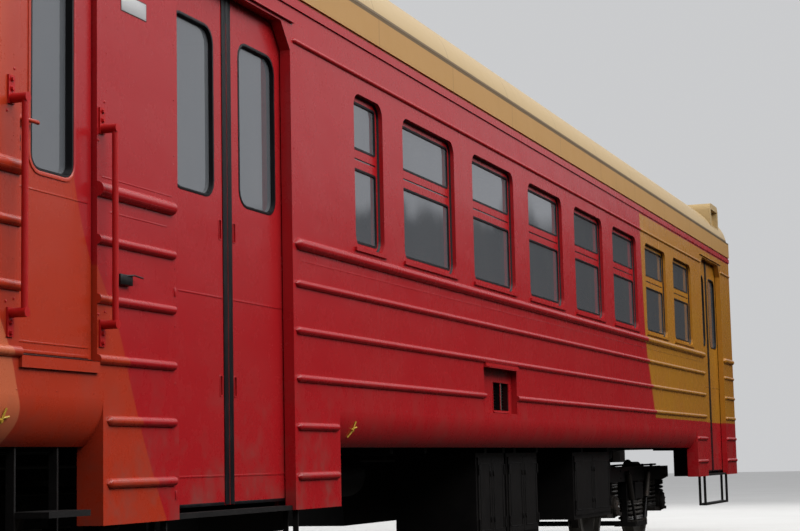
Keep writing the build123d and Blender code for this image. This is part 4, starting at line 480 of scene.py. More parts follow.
class Form:
    """A mesh while it is being put together, in the car's own metres."""

    def __init__(self):
        self.mesh = bmesh.new()

    def block(self, low, high, bevel=0.0):
        """Box between two corners, with rounded edges where a bevel is given."""
        low, high = Vector(low), Vector(high)
        low, high = Vector(map(min, low, high)), Vector(map(max, low, high))
        middle = (low + high) / 2
        size = Matrix.Diagonal((*(high - low), 1))
        made = bmesh.ops.create_cube(self.mesh, size=1.0, matrix=Matrix.Translation(middle) @ size)
        if bevel:
            edges = list({edge for vert in made["verts"] for edge in vert.link_edges})
            bmesh.ops.bevel(self.mesh, geom=edges, offset=bevel, segments=2, profile=0.5, affect="EDGES")

    def rod(self, start, end, radius, sides=16, tip=None):
        """Round bar between two points, tapering to the tip's radius where one is given."""
        start, end = Vector(start), Vector(end)
        turn = (end - start).to_track_quat("Z", "Y").to_matrix().to_4x4()
        bmesh.ops.create_cone(
            self.mesh, cap_ends=True, segments=sides, radius1=radius, radius2=radius if tip is None else tip,
            depth=(end - start).length, matrix=Matrix.Translation((start + end) / 2) @ turn,
        )

    def loft(self, loops, round_about=False, caps=False):
        """Skin over loops of equally many points, joined round about or capped at the ends."""
        rows = [[self.mesh.verts.new(point) for point in loop] for loop in loops]
        pairs = list(zip(rows, rows[1:]))
        if round_about:
            pairs.append((rows[-1], rows[0]))
        for first, second in pairs:
            for i in range(len(first)):
                j = (i + 1) % len(first)
                self.mesh.faces.new((first[i], first[j], second[j], second[i]))
        if caps:
            self.mesh.faces.new(rows[0])
            self.mesh.faces.new(rows[-1])

    def tube(self, points, radius, sides=10):
        """Round tube along points, its ends closed."""
        points = [Vector(point) for point in points]
        ahead = (points[1] - points[0]).normalized()
        across = ahead.orthogonal().normalized()
        loops = []
        for i, point in enumerate(points):
            near = points[max(i - 1, 0)]
            far = points[min(i + 1, len(points) - 1)]
            turned = (far - near).normalized()
            across = (across - turned * across.dot(turned)).normalized()
            up = turned.cross(across)
            angles = [2 * math.pi * k / sides for k in range(sides)]
            loops.append([point + (across * math.cos(a) + up * math.sin(a)) * radius for a in angles])
        self.loft(loops, caps=True)

    def turned(self, centre, axis, profile, sides=24):
        """Turned form about an axis, through (distance along, radius) pairs."""
        axis = Vector(axis).normalized()
        across = axis.orthogonal().normalized()
        up = axis.cross(across)
        centre = Vector(centre)
        angles = [2 * math.pi * k / sides for k in range(sides)]
        self.loft(
            [
                [centre + axis * along + (across * math.cos(a) + up * math.sin(a)) * radius for a in angles]
                for along, radius in profile
            ],
            caps=True,
        )

    def bolt(self, place, axis, size=0.010):
        """Hexagon head on a round washer, standing on a face."""
        place, axis = Vector(place), Vector(axis).normalized()
        self.rod(place, place + axis * size * 0.22, size * 1.25, 12)
        self.rod(place + axis * size * 0.2, place + axis * size * 0.9, size, 6, size * 0.92)

    def rivet(self, place, axis, size=0.004):
        """Low round head."""
        self.turned(place, axis, ((-0.0005, size), (size * 0.35, size * 0.8), (size * 0.6, size * 0.3)), 8)

    def piece(self, name, material, slot, body="root", replaced=()):
        """Ends the mesh and puts it on its body, smooth but for its sharp edges."""
        bmesh.ops.recalc_face_normals(self.mesh, faces=self.mesh.faces)
        for edge in self.mesh.edges:
            edge.smooth = not (edge.is_manifold and edge.calc_face_angle() > math.radians(35))
        for face in self.mesh.faces:
            face.smooth = True
        mesh = bpy.data.meshes.new(name)
        self.mesh.to_mesh(mesh)
        self.mesh.free()
        mesh.materials.append(material)
        made = in_scene(name, mesh)
        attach(made, body)
        if replaced:
            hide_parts(*replaced)
        return made


def rounded(x, z, radius, y, steps=4):
    """Loop round a rectangle with rounded corners, in a plane of constant y."""
    loop = []
    for cx, cz, start in (
        (x[1] - radius, z[1] - radius, 0),
        (x[0] + radius, z[1] - radius, 90),
        (x[0] + radius, z[0] + radius, 180),
        (x[1] - radius, z[0] + radius, 270),
    ):
        for i in range(steps + 1):
            angle = math.radians(start + 90 * i / steps)
            loop.append((cx + radius * math.cos(angle), y, cz + radius * math.sin(angle)))
    return loop


def surround(form, x, z, radius, section, way):
    """Closed trim round a rounded opening, through (outward growth, y) points of its section."""
    loops = [
        rounded((x[0] - grow, x[1] + grow), (z[0] - grow, z[1] + grow), max(radius + grow, 0.002), way * y)
        for grow, y in section
    ]
    form.loft(loops, round_about=True)


def side_window_trim():
    """Rubber strips round the panes and the frames of the side windows."""
    for side, way in SIDES.items():
        form = Form()
        lip = ((0.0005, 1.714), (-0.006, 1.708), (-0.010, 1.7018), (0.0005, 1.7012))
        edge = ((0.006, 1.7019), (0.004, 1.7042), (-0.009, 1.7036), (-0.013, 1.6948), (0.006, 1.6948))
        for centre, width in WINDOWS:
            x = (centre - width / 2, centre + width / 2)
            surround(form, x, WINDOW_Z, 0.090, lip, way)
            clear = (x[0] + 0.042, x[1] - 0.042)
            for z in ((2.362, 2.815), (2.940, 3.228)):
                surround(form, clear, z, 0.020, edge, way)
        form.piece(f"window_rubber_{side}", RUBBER, "rubber")


def leaf_trim(place, side, half):
    """Rubber, seam strips, grips and the inner pull of one sliding leaf, on the leaf's body."""
    body = f"{place}_{side}_{half}_leaf"
    doorway = DOOR_CENTRES[place]
    ahead = 1 if half == "lead" else -1
    way = SIDES[side]
    seam = doorway + ahead * 0.003

    def at(reach, depth_y, height):
        return (seam + ahead * reach, way * depth_y, height)

    form = Form()
    lip = ((0.049, 1.6690), (0.0485, 1.6742), (0.040, 1.6758), (0.012, 1.6758), (0.003, 1.6742), (-0.0024, 1.6700),
           (-0.0024, 1.6400), (0.002, 1.6360))
    form.loft([[at(r, y, z) for r, y in lip] for z in (0.842, 3.455)], caps=True)
    window = sorted((doorway + ahead * 0.150, doorway + ahead * 0.590))
    ring = ((0.010, 1.6698), (0.008, 1.6722), (0.002, 1.6732), (-0.005, 1.6724), (-0.009, 1.6504), (-0.001, 1.6504))
    surround(form, window, LEAF_WINDOW_Z, 0.085, ring, way)
    inner = ((0.012, 1.6352), (0.016, 1.6318), (-0.008, 1.6318), (-0.010, 1.6438), (0.0, 1.6438))
    surround(form, window, LEAF_WINDOW_Z, 0.085, inner, way)
    form.block(at(0.050, 1.6702, 0.838), at(0.672, 1.6640, 0.856), 0.002)
    form.piece(f"{body}_rubber", RUBBER, "rubber", body)

    form = Form()
    grip = sorted((doorway + ahead * 0.070, doorway + ahead * 0.092))
    lip = ((0.007, 1.6698), (0.006, 1.6726), (0.0, 1.6726), (-0.0015, 1.6600))
    for z in ((1.385, 1.482), (2.180, 2.275)):
        surround(form, grip, z, 0.004, lip, way)
    for z in (0.985, 1.880):
        form.block(at(0.052, 1.6696, z - 0.005), at(0.672, 1.6722, z + 0.005), 0.001)
    pull = [(1.6345, 1.95), (1.6328, 1.97), (1.6328, 2.29), (1.6345, 2.31)]
    form.tube([at(0.110, y, z) for y, z in pull], 0.0045, 8)
    form.piece(f"{body}_trim", BODY, "red_paint", body)


def service_door_trim(side):
    """Window rubber and lip, key slots, seam strips and lever of a service door."""
    body = f"service_door_{side}"
    way = SIDES[side]
    x = (HINGE_EDGE_X - 0.430, HINGE_EDGE_X - 0.110)
    z = (2.265, 3.150)
    form = Form()
    ring = ((0.006, 1.7148), (0.005, 1.7172), (-0.005, 1.7168), (-0.010, 1.6855), (0.0, 1.6855))
    surround(form, x, z, 0.060, ring, way)
    inner = ((0.012, 1.6705), (0.016, 1.6660), (-0.008, 1.6660), (-0.010, 1.6788), (0.0, 1.6788))
    surround(form, x, z, 0.060, inner, way)
    # Two small black rubber blocks stand in for the key slots: painted shade in the holes
    for low, high in ((2.356, 2.384), (2.320, 2.338)):
        form.block((HINGE_EDGE_X - 0.034, way * 1.7146, low), (HINGE_EDGE_X - 0.018, way * 1.7154, high), 0.0004)
    form.piece(f"{body}_rubber", RUBBER, "rubber", body)

    form = Form()
    lip = ((0.026, 1.7148), (0.024, 1.7196), (0.012, 1.7206), (0.007, 1.7180), (0.0065, 1.7148))
    surround(form, x, z, 0.060, lip, way)
    for z, thick, proud in ((1.548, 0.004, 0.0026), (1.509, 0.007, 0.0042), (2.175, 0.004, 0.0020)):
        low = (HINGE_EDGE_X - 0.556, way * 1.7146, z - thick)
        form.block(low, (HINGE_EDGE_X - 0.006, way * (1.7150 + proud), z + thick), 0.001)
    form.piece(f"{body}_trim", BODY, "red_paint", body)

    form = Form()
    grip_x = HINGE_EDGE_X - 0.026
    form.block((grip_x - 0.014, way * 1.7148, 2.418), (grip_x + 0.014, way * 1.7185, 2.472), 0.003)
    form.rod((grip_x, way * 1.7170, 2.445), (grip_x, way * 1.7440, 2.445), 0.010, 14)
    arm = ((0.006, 1.7440, 2.445), (-0.085, 1.7450, 2.447), (-0.096, 1.7400, 2.447))
    form.tube([(grip_x + dx, way * y, z) for dx, y, z in arm], 0.009, 10)
    form.piece(f"{body}_lever", BODY, "red_paint", body)


def rib_beads():
    """Rounded pressings over the ribs of the side walls."""
    form = Form()

    def bead(rear, front, z, half, proud, way, cut):
        """Half-round bar along the wall, running to a point at an end unless it is cut there."""
        tip, swell = half, half * 0.5
        stations = [(rear, 1.0)] if cut == "rear" else [(rear, 0.03), (rear + swell, 0.62), (rear + tip, 1.0)]
        stations += [(front, 1.0)] if cut == "front" else [(front - tip, 1.0), (front - swell, 0.62), (front, 0.03)]
        angles = [math.pi * (k / 8 - 0.5) for k in range(9)]
        form.loft([
            [(x, way * (WALL_Y - 0.0005 + proud * share * math.cos(a)), z + half * share * math.sin(a)) for a in angles]
            for x, share in stations
        ], caps=True)

    for way in SIDES.values():
        for z, half, proud in WALL_RIBS:
            bead(-9.771, -9.119, z, half, proud, way, None)
            bead(5.769, SERVICE_OPENING[0], z, half, proud, way, "front")
            bead(SERVICE_OPENING[1], 8.571, z, half, proud, way, "rear")
            if abs(z - WALL_RIBS[0][0]) < 0.01:
                bead(-7.731, 0.209, z, half, proud, way, "front")
                bead(1.031, 4.381, z, half, proud, way, "rear")
            else:
                bead(-7.731, 4.381, z, half, proud, way, None)
        for z in (0.968, 1.238):
            for rear, front in ((5.769, 6.401), (3.804, 4.381), (-7.731, -7.154), (-9.771, -9.119)):
                bead(rear, front, z, *WALL_RIBS[0][1:], way, None)
        form.block((5.800, way * WALL_SKIN, 2.298), (6.440, way * 1.7414, 2.305), 0.0006)
    form.piece("rib_beads", BODY, "red_paint")


def handrail_bolts():
    """Bolts of the handrails' plates, with rivets beside them."""
    form = Form()
    plates = (
        # height of the plate, its bolts above that, rivets beside it
        (1.555, (0.018, 0.058), ((-0.030, 0.155), (0.026, 0.140))),
        (2.488, (0.062, 0.102), ((-0.028, 0.150), (0.024, -0.030))),
    )
    for way in SIDES.values():
        for x in (6.445, 7.150):
            for low, bolts, rivets in plates:
                for dz in bolts:
                    form.bolt((x, way * 1.748, low + dz), (0, way, 0), 0.010)
                for dx, dz in rivets:
                    form.rivet((x + dx, way * 1.7399, low + dz), (0, way, 0), 0.007)
    form.piece("handrail_bolts", HANDRAIL, "rail_paint")


def coil(form, x, y, low, high, outer, wire, turns):
    """Coil spring standing between two heights, with closed end turns."""
    mean = outer - wire - 0.001
    steps = 18
    whole = int((turns + 2) * steps)
    points = []
    for i in range(whole + 1):
        turn = i / steps
        if turn < 1:
            z = low + wire + turn * wire * 2 * 0.55
        elif turn > turns + 1:
            z = high - wire - (turns + 2 - turn) * wire * 2 * 0.55
        else:
            z = low + wire * 2.1 + (turn - 1) / turns * (high - low - 4.2 * wire)
        angle = 2 * math.pi * turn
        points.append((x + mean * math.cos(angle), y + mean * math.sin(angle), z))
    form.tube(points, wire, 8)


def bogie_springs():
    """Coil springs in place of each bogie's plain cylinders, on seats with a guide post inside."""
    low_seat = ((0, 0.088), (0.007, 0.088), (0.010, 0.050), (0.070, 0.044), (0.074, 0.020))
    high_seat = ((0, 0.088), (0.008, 0.088), (0.011, 0.050), (0.060, 0.046))
    middle_seat = ((0, 0.108), (0.007, 0.108), (0.010, 0.060), (0.050, 0.052))
    sets = (
        # places along the bogie, heights of the seats, coil from low to high with its radii and turns, seats
        ([axle + half for axle in AXLES for half in (-0.235, 0.235)], (0.430, 0.760),
         (0.436, 0.752, 0.090, 0.0145, 5.5), low_seat, high_seat),
        ((-0.150, 0.150), (0.300, 0.560), (0.306, 0.554, 0.110, 0.018, 3.5), middle_seat, middle_seat),
    )
    for place, middle in BOGIES.items():
        form = Form()
        for way in SIDES.values():
            for offsets, (low, high), sizes, lower, upper in sets:
                for offset in offsets:
                    x, y = middle + offset, way * 1.018
                    coil(form, x, y, *sizes)
                    form.turned((x, y, low), (0, 0, 1), lower, 20)
                    form.turned((x, y, high), (0, 0, -1), upper, 20)
        form.piece(f"{place}_bogie_coils", SPRING_STEEL, "steel", f"{place}_bogie", (f"{place}_bogie_springs",))


def cushion(form, places):
    """Crowned closed pad from a grid of (low, high) points."""
    top, low = ([[form.mesh.verts.new(pair[k]) for pair in row] for row in places] for k in (1, 0))
    face = form.mesh.faces.new
    last_i, last_j = len(top) - 1, len(top[0]) - 1
    for i in range(last_i):
        for j in range(last_j):
            face((top[i][j], top[i + 1][j], top[i + 1][j + 1], top[i][j + 1]))
            face((low[i][j], low[i][j + 1], low[i + 1][j + 1], low[i + 1][j]))
    for i in range(last_i):
        face((top[i][0], low[i][0], low[i + 1][0], top[i + 1][0]))
        face((top[i][last_j], top[i + 1][last_j], low[i + 1][last_j], low[i][last_j]))
    for j in range(last_j):
        face((top[0][j], top[0][j + 1], low[0][j + 1], low[0][j]))
        face((top[last_i][j], low[last_i][j], low[last_i][j + 1], top[last_i][j + 1]))


def pad(form, origin, along, across, out, length, width, thick, channels):
    """Seat pad on an origin corner: crowned, pinched at its edge, with sewn channels across its length."""
    origin, along, across, out = (Vector(v) for v in (origin, along, across, out))
    steps = channels * 8
    cross = 12
    grid = []
    for i in range(steps + 1):
        u = i / steps
        row = []
        for j in range(cross + 1):
            v = j / cross
            edge_u = min(u, 1 - u) * length
            edge_v = min(v, 1 - v) * width
            edge = min(edge_u, edge_v)
            round_off = 1 - max(0.0, 1 - edge / (thick * 0.55)) ** 2
            swell = 0.86 + 0.14 * math.sin(math.pi * u) ** 0.5 * math.sin(math.pi * v) ** 0.5
            channel = abs(math.sin(math.pi * u * channels))
            sewn = 1 - 0.16 * (1 - channel) ** 3 * (1 if 0 < i < steps else 0)
            tuck = 0.012 * (1 - round_off)
            pu = min(max(u * length, tuck), length - tuck)
            pv = min(max(v * width, tuck), width - tuck)
            low = origin + along * pu + across * pv + out * (thick * 0.14 * (1 - round_off))
            high = origin + along * pu + across * pv + out * thick * (0.34 + 0.66 * round_off) * swell * sewn
            row.append((low, high))
        grid.append(row)
    cushion(form, grid)


def benches():
    """Padded benches with steel frames, in place of the plain bench solids."""
    pads = Form()
    steel = Form()
    seats = []
    for x in BENCH_BAYS:
        seats += [(x, 1), (x, -1)]
    seats += [(3.700, -1), (-7.400, 1)]
    for way in SIDES.values():
        inner, outer = way * 0.335, way * 1.600
        length = abs(outer - inner)
        for x, face in seats:
            def at(reach, y, height):
                return Vector((x + face * reach, y, FLOOR_TOP + height))

            seat_in = Vector((0.410, 0, 0.020)).normalized()
            seat_in.x *= face
            lift = Vector((0, way, 0)).cross(seat_in)
            lift = lift if lift.z > 0 else -lift
            pad(pads, at(0.100, inner, 0.375), (0, way, 0), seat_in, lift, length, 0.408, 0.074, 3)
            lean = Vector((-0.052 * face, 0, 0.440)).normalized()
            out = Vector((0, way, 0)).cross(lean)
            out = out if out.x * face > 0 else -out
            pad(pads, at(0.050, inner, 0.452), (0, way, 0), lean, out, length, 0.430, 0.046, 3)
            for y in (inner + way * 0.02, inner + way * 0.62, outer - way * 0.03):
                steel.block(at(0.080, y - 0.012, 0.001), at(0.110, y + 0.012, 0.375), 0.003)
                steel.block(at(0.100, y - 0.012, 0.352), at(0.500, y + 0.012, 0.376), 0.003)
                steel.tube([at(0.105, y, 0.08), at(0.30, y, 0.30), at(0.47, y, 0.358)], 0.008, 8)
            y = inner - way * 0.006
            steel.tube([at(0.095, y, 0.38), at(0.046, y, 0.885), at(0.020, y, 0.897)], 0.009, 8)
    made = pads.piece("bench_pads", SEAT, "seat", replaced=("benches",))
    steel.piece("bench_frames", FRAME_GREY, "steel", replaced=("benches",))


def skin_tree(*names):
    """Search tree over the resting faces of some CAD nodes."""
    points, faces = [], []
    for name in names:
        mesh = nodes[name].data
        start = len(points)
        points += [vertex.co.copy() for vertex in mesh.vertices]
        faces += [[start + i for i in face.vertices] for face in mesh.polygons]
    return BVHTree.FromPolygons(points, faces)


def nose_point(tree, y, z, proud):
    """Point ahead of the cab front at a place across and up, standing off its skin."""
    hit, normal, _, _ = tree.ray_cast(Vector((12.0, y, z)), Vector((-1, 0, 0)))
    if normal.x < 0:
        normal = -normal
    return hit + normal * proud


def windscreen_trim():
    """Rubber round the windscreens, with wipers and their arms, laid on the sloping front."""
    skin = skin_tree("cab_front")
    pane = skin_tree("window_glass")
    form = Form()
    for way in SIDES.values():
        across = sorted((way * 0.090, way * 1.330))
        loops = []
        for grow, tree, proud in (
            (0.022, skin, 0.0004), (0.018, skin, 0.007), (0.006, skin, 0.009),
            (-0.010, pane, 0.012), (-0.016, pane, 0.001),
        ):
            z = (SCREEN_Z[0] - grow, SCREEN_Z[1] + grow)
            loop = rounded((across[0] - grow, across[1] + grow), z, 0.120 + grow, 0)
            loops.append([nose_point(tree, y, z, proud) for y, _, z in loop])
        form.loft(loops)
    form.piece("windscreen_rubber", RUBBER, "rubber")
    form = Form()
    for way in SIDES.values():
        foot = nose_point(skin, way * 0.62, 2.285, 0.0)
        form.turned(foot, (1, 0, 0.3), ((0, 0.026), (0.020, 0.024), (0.034, 0.012)), 16)
        tip = nose_point(pane, way * 0.30, 2.78, 0.022)
        form.tube([foot + Vector((0.026, 0, 0.010)), (foot + tip) / 2 + Vector((0.034, 0, 0.010)), tip], 0.006, 8)
        blade = [nose_point(pane, way * (0.30 + 0.10 * s), 2.78 + 0.30 * s, 0.012) for s in (-1, -0.5, 0, 0.5, 1)]
        form.tube(blade, 0.007, 8)
    form.piece("wipers", DARK_METAL, "black_paint")


def lamp_trim():
    """Lenses and rims of the head lamp, the front markers and the tail lamps."""
    lenses, rims = Form(), Form()
    for y, z, radius, x in ((0, 3.690, 0.200, 9.450), (1.120, 1.880, 0.095, 9.650), (-1.120, 1.880, 0.095, 9.650)):
        bulge = radius * 0.16
        profile = [(0.0005, radius - 0.006)]
        for share in (i / 6 for i in range(1, 7)):
            profile.append((bulge * (1 - (1 - share) ** 2) + 0.001, (radius - 0.008) * (1 - share * 0.995)))
        lenses.turned((x - 0.012, y, z), (1, 0, 0), profile, 36)
        section = ((0.0, radius + 0.023), (0.004, radius + 0.020), (0.006, radius + 0.008), (0.002, radius - 0.004),
                   (-0.010, radius - 0.006))
        angles = [2 * math.pi * k / 36 for k in range(36)]
        rims.loft([[(x + along, y + r * math.cos(a), z + r * math.sin(a)) for a in angles] for along, r in section])
        for k in range(6):
            angle = math.pi / 6 + math.pi * k / 3
            place = (x + 0.005, y + (radius + 0.014) * math.cos(angle), z + (radius + 0.014) * math.sin(angle))
            rims.bolt(place, (1, 0, 0), 0.005)
    lenses.piece("lamp_lenses", WHITE_LENS, "lamp")
    for way in SIDES.values():
        ring = ((0, 0.066), (0.002, 0.070), (0.009, 0.068), (0.010, 0.056))
        rims.turned((-9.846, way * 1.250, 3.330), (-1, 0, 0), ring, 30)
    rims.piece("lamp_rims", DARK_METAL, "black_paint")
    tail = Form()
    for way in SIDES.values():
        tail.turned(
            (-9.8455, way * 1.250, 3.330), (-1, 0, 0),
            ((0, 0.060), (0.008, 0.058), (0.016, 0.044), (0.021, 0.020), (0.022, 0.002)), 30,
        )
    tail.piece("tail_lenses", RED_LENS, "lamp")


def wall_fittings():
    """Lock valve, blank white plate, catches, rivets, seams and the intakes' hoods on the side walls."""
    paint, plate, dark = Form(), Form(), Form()
    for way in SIDES.values():
        dark.block((6.208, way * WALL_SKIN, 1.838), (6.318, way * 1.7640, 1.886), 0.004)
        dark.tube([(6.260, way * 1.7600, 1.880), (6.210, way * 1.7700, 1.886), (6.130, way * 1.7700, 1.880)], 0.004, 8)
        dark.block((6.037, way * 1.7396, 3.087), (6.273, way * 1.7408, 3.173), 0.0005)
        plate.block((6.041, way * 1.7396, 3.091), (6.269, way * 1.7420, 3.169), 0.0015)
        for x in (6.050, 6.260):
            for z in (3.100, 3.160):
                plate.rivet((x, way * 1.7419, z), (0, way, 0), 0.0035)
        for doorway in DOOR_CENTRES.values():
            for z in (0.905, 1.850):
                low = (doorway + 0.690, way * WALL_SKIN, z - 0.020)
                paint.block(low, (doorway + 0.708, way * 1.7440, z + 0.020), 0.002)
            for edge in (-0.700, 0.700):
                for k in range(8):
                    paint.rivet((doorway + edge, way * 1.7399, 1.42 + 0.27 * k), (0, way, 0), 0.0045)
            paint.block((doorway - 0.70, way * WALL_SKIN, 3.476), (doorway + 0.70, way * 1.7560, 3.484), 0.002)
        for x in (5.770, 6.400, 7.125, 3.560, 2.900, -5.030, -5.210, -7.200, -7.560):
            for k in range(11):
                z = 1.540 + 0.165 * k
                if min(abs(z - rib) for rib in (1.501, 1.763, 2.022, 2.243)) > 0.045:
                    paint.rivet((x, way * 1.7399, z), (0, way, 0), 0.0035)
        for k in range(62):
            x = -9.72 + 0.295 * k
            if all(abs(x - c) >= 1.42 for c in DOOR_CENTRES.values()):
                paint.rivet((x, way * 1.7399, 1.352), (0, way, 0), 0.004)
        for low, high in ((-7.640, 4.290), (5.850, 6.370)):
            paint.block((low, way * WALL_SKIN, 2.148), (high, way * 1.7412, 2.156), 0.0006)
        # Black strip along the foot of the service door: a painted shadow in the gap between the door and the threshold
        # plate
        dark.block((6.512, way * 1.7100, 1.4890), (7.062, way * 1.7360, 1.4965), 0.001)
        hood = ((WALL_SKIN, 1.722), (1.7850, 1.712), (1.7850, 1.706), (WALL_SKIN, 1.710))
        paint.loft([[(x, way * y, z) for y, z in hood] for x in (0.206, 1.034)], caps=True)
    paint.piece("wall_rivets", BODY, "red_paint")
    plate.piece("blank_plate", PALE_PLATE, "cream_paint")
    dark.piece("lock_boxes_and_gap_shadow", CABINET, "black_paint")


def intake_frames():
    """Thin frames, dark mesh panels and a bright bar in the mouths of the low wall intakes."""
    frame_form, mesh, bar = Form(), Form(), Form()
    for way in SIDES.values():
        ring = ((0.012, 1.6962), (0.011, 1.7000), (0.001, 1.7000), (-0.001, 1.6900))
        surround(frame_form, INTAKE_X, INTAKE_Z, 0.003, ring, way)
        frame_form.block((INTAKE_X[0], way * 1.6960, 1.386), (INTAKE_X[1], way * 1.7080, 1.394), 0.002)
        for k in range(9):
            z = INTAKE_Z[0] + 0.012 + 0.0228 * k
            mesh.rod((INTAKE_X[0], way * 1.655, z), (INTAKE_X[1], way * 1.655, z), 0.004, 8)
        bar.rod((0.495, way * 1.6975, INTAKE_Z[0]), (0.495, way * 1.6975, INTAKE_Z[1]), 0.0035, 8)
    frame_form.piece("intake_frames", BODY, "red_paint")
    mesh.piece("intake_grilles", CABINET, "black_paint")
    bar.piece("intake_bars", STEEL, "steel")


def cabinet_trim():
    """Latches, hinges and seals on the doors of the cabinets below the floor."""
    steel, latches = Form(), Form()
    boxes = (
        # ends along the car, face across it, underside
        (-0.180, 0.550, 1.500, 0.420), (-1.120, -0.230, 1.500, 0.420), (-3.700, -2.300, 1.500, 0.480),
        (-1.120, 0.550, -1.500, 0.450), (1.300, 2.600, -1.500, 0.480), (-4.100, -2.500, -1.500, 0.430),
    )
    for x0, x1, face, low in boxes:
        way = 1 if face > 0 else -1
        y = face + way * 0.010
        top, middle = 1.090, (x0 + x1) / 2
        for half, near, far in ((-1, x0 + 0.035, middle - 0.005), (1, middle + 0.005, x1 - 0.035)):
            width = far - near
            left, right, bottom, head = near + 0.045, far - 0.045, low + 0.080, top - 0.080
            for a, b, c, d in (
                (left, right, bottom, bottom + 0.006), (left, right, head - 0.006, head),
                (left, left + 0.006, bottom, head), (right - 0.006, right, bottom, head),
            ):
                steel.block((a, y - way * 0.0006, c), (b, y + way * 0.003, d), 0.001)
            hinge_x = near + 0.006 if half < 0 else far - 0.006
            for z in (low + 0.13, top - 0.13):
                steel.rod((hinge_x, y + way * 0.004, z - 0.040), (hinge_x, y + way * 0.004, z + 0.040), 0.009, 12)
            lock_x = far - 0.040 if half < 0 else near + 0.040
            for z in (low + 0.16, top - 0.16):
                latch = ((0, 0.020), (0.004, 0.019), (0.005, 0.008))
                latches.turned((lock_x, y - way * 0.0005, z), (0, way, 0), latch, 3)
                low_corner = (lock_x - 0.006, y + way * 0.003, z - 0.022)
                steel.block(low_corner, (lock_x + 0.006, y + way * 0.010, z + 0.022), 0.002)
            for k in range(max(2, int(width / 0.16))):
                x = near + 0.04 + (width - 0.08) * k / max(1, int(width / 0.16) - 1)
                for z in (low + 0.052, top - 0.052):
                    steel.rivet((x, y - way * 0.0002, z), (0, way, 0), 0.005)
    steel.piece("cabinet_fittings", CABINET, "black_paint")
    latches.piece("cabinet_latches", CABINET, "black_paint")


def bogie_fittings():
    """Bolts on axlebox covers and frames, dampers, pipes and safety straps of both bogies."""
    cover = ((-0.0005, 0.104), (0.010, 0.102), (0.014, 0.070), (0.020, 0.060), (0.022, 0.020))
    pipe = ((-1.75, 0.940), (-1.2, 0.938), (0, 0.945), (1.2, 0.938), (1.75, 0.940))
    for place, middle in BOGIES.items():
        steel, dark, pale = Form(), Form(), Form()
        for way in SIDES.values():
            for axle in AXLES:
                x = middle + axle
                face = way * 1.143
                dark.turned((x, face, AXLE_Z), (0, way, 0), cover, 28)
                for k in range(8):
                    angle = math.pi * (k + 0.5) / 4
                    place_x, place_z = x + 0.088 * math.cos(angle), AXLE_Z + 0.088 * math.sin(angle)
                    dark.bolt((place_x, face + way * 0.011, place_z), (0, way, 0), 0.009)
                pale.turned((x, face + way * 0.021, AXLE_Z), (0, way, 0), ((0, 0.014), (0.006, 0.012)), 12)
                for side in (-1, 1):
                    for dz in (-0.04, 0.03):
                        dark.bolt((x + side * 0.120, way * 1.118, 0.46 + dz), (0, way, 0), 0.008)
            for x in (middle - 1.6, middle - 0.75, middle - 0.36, middle + 0.36, middle + 0.75, middle + 1.6):
                for z in (0.800, 0.880):
                    dark.bolt((x, way * 1.093, z), (0, way, 0), 0.010)
            dark.block((middle - 1.30, way * 1.0928, 0.914), (middle + 1.30, way * 1.110, 0.926), 0.003)
            for end in (-1, 1):
                top = (middle + end * 0.52, way * 1.125, 0.850)
                low = (middle + end * 0.24, way * 1.125, 0.300)
                axis = Vector(low) - Vector(top)
                dark.rod(top, Vector(top) + axis * 0.52, 0.034, 18)
                steel.rod(Vector(top) + axis * 0.50, low, 0.016, 14)
                for at in (top, low):
                    dark.rod((at[0], way * 1.090, at[2]), (at[0], way * 1.150, at[2]), 0.030, 16)
            steel.tube([(middle + dx, way * 0.955, z) for dx, z in pipe], 0.011, 8)
            for k in range(7):
                x = middle - 1.5 + 0.5 * k
                dark.block((x - 0.015, way * 0.970, 0.9195), (x + 0.015, way * 0.938, 0.952), 0.003)
        dark.piece(f"{place}_bogie_bolts", CAST, "cast", f"{place}_bogie")
        steel.piece(f"{place}_bogie_pipes", CHASSIS, "black_paint", f"{place}_bogie")
        pale.piece(f"{place}_axle_caps", PALE_PLATE, "steel", f"{place}_bogie")


def saloon_fittings():
    """Luggage racks, ceiling lamps and grab poles inside."""
    steel, light = Form(), Form()
    for way in SIDES.values():
        for x in BENCH_BAYS + [-7.30, 3.60]:
            steel.tube([(x, way * 1.609, 3.330), (x, way * 1.340, 3.300)], 0.010, 8)
        for k in range(5):
            y = way * (1.580 - 0.055 * k)
            steel.tube([(-7.36, y, 3.338 - 0.006 * k), (3.66, y, 3.338 - 0.006 * k)], 0.006, 6)
        for x in (-8.0, 4.0, 6.2):
            steel.tube([(x, way * 0.46, FLOOR_TOP + 0.001), (x, way * 0.46, 3.599)], 0.016, 12)
    for x in [-8.3, 5.075] + [2.9 - PITCH * i for i in range(8)]:
        light.block((x - 0.30, -0.10, 3.565), (x + 0.30, 0.10, 3.5996), 0.012)
    steel.piece("luggage_racks", STEEL, "steel")
    light.piece("ceiling_lamps", LAMP_COVER, "lamp")


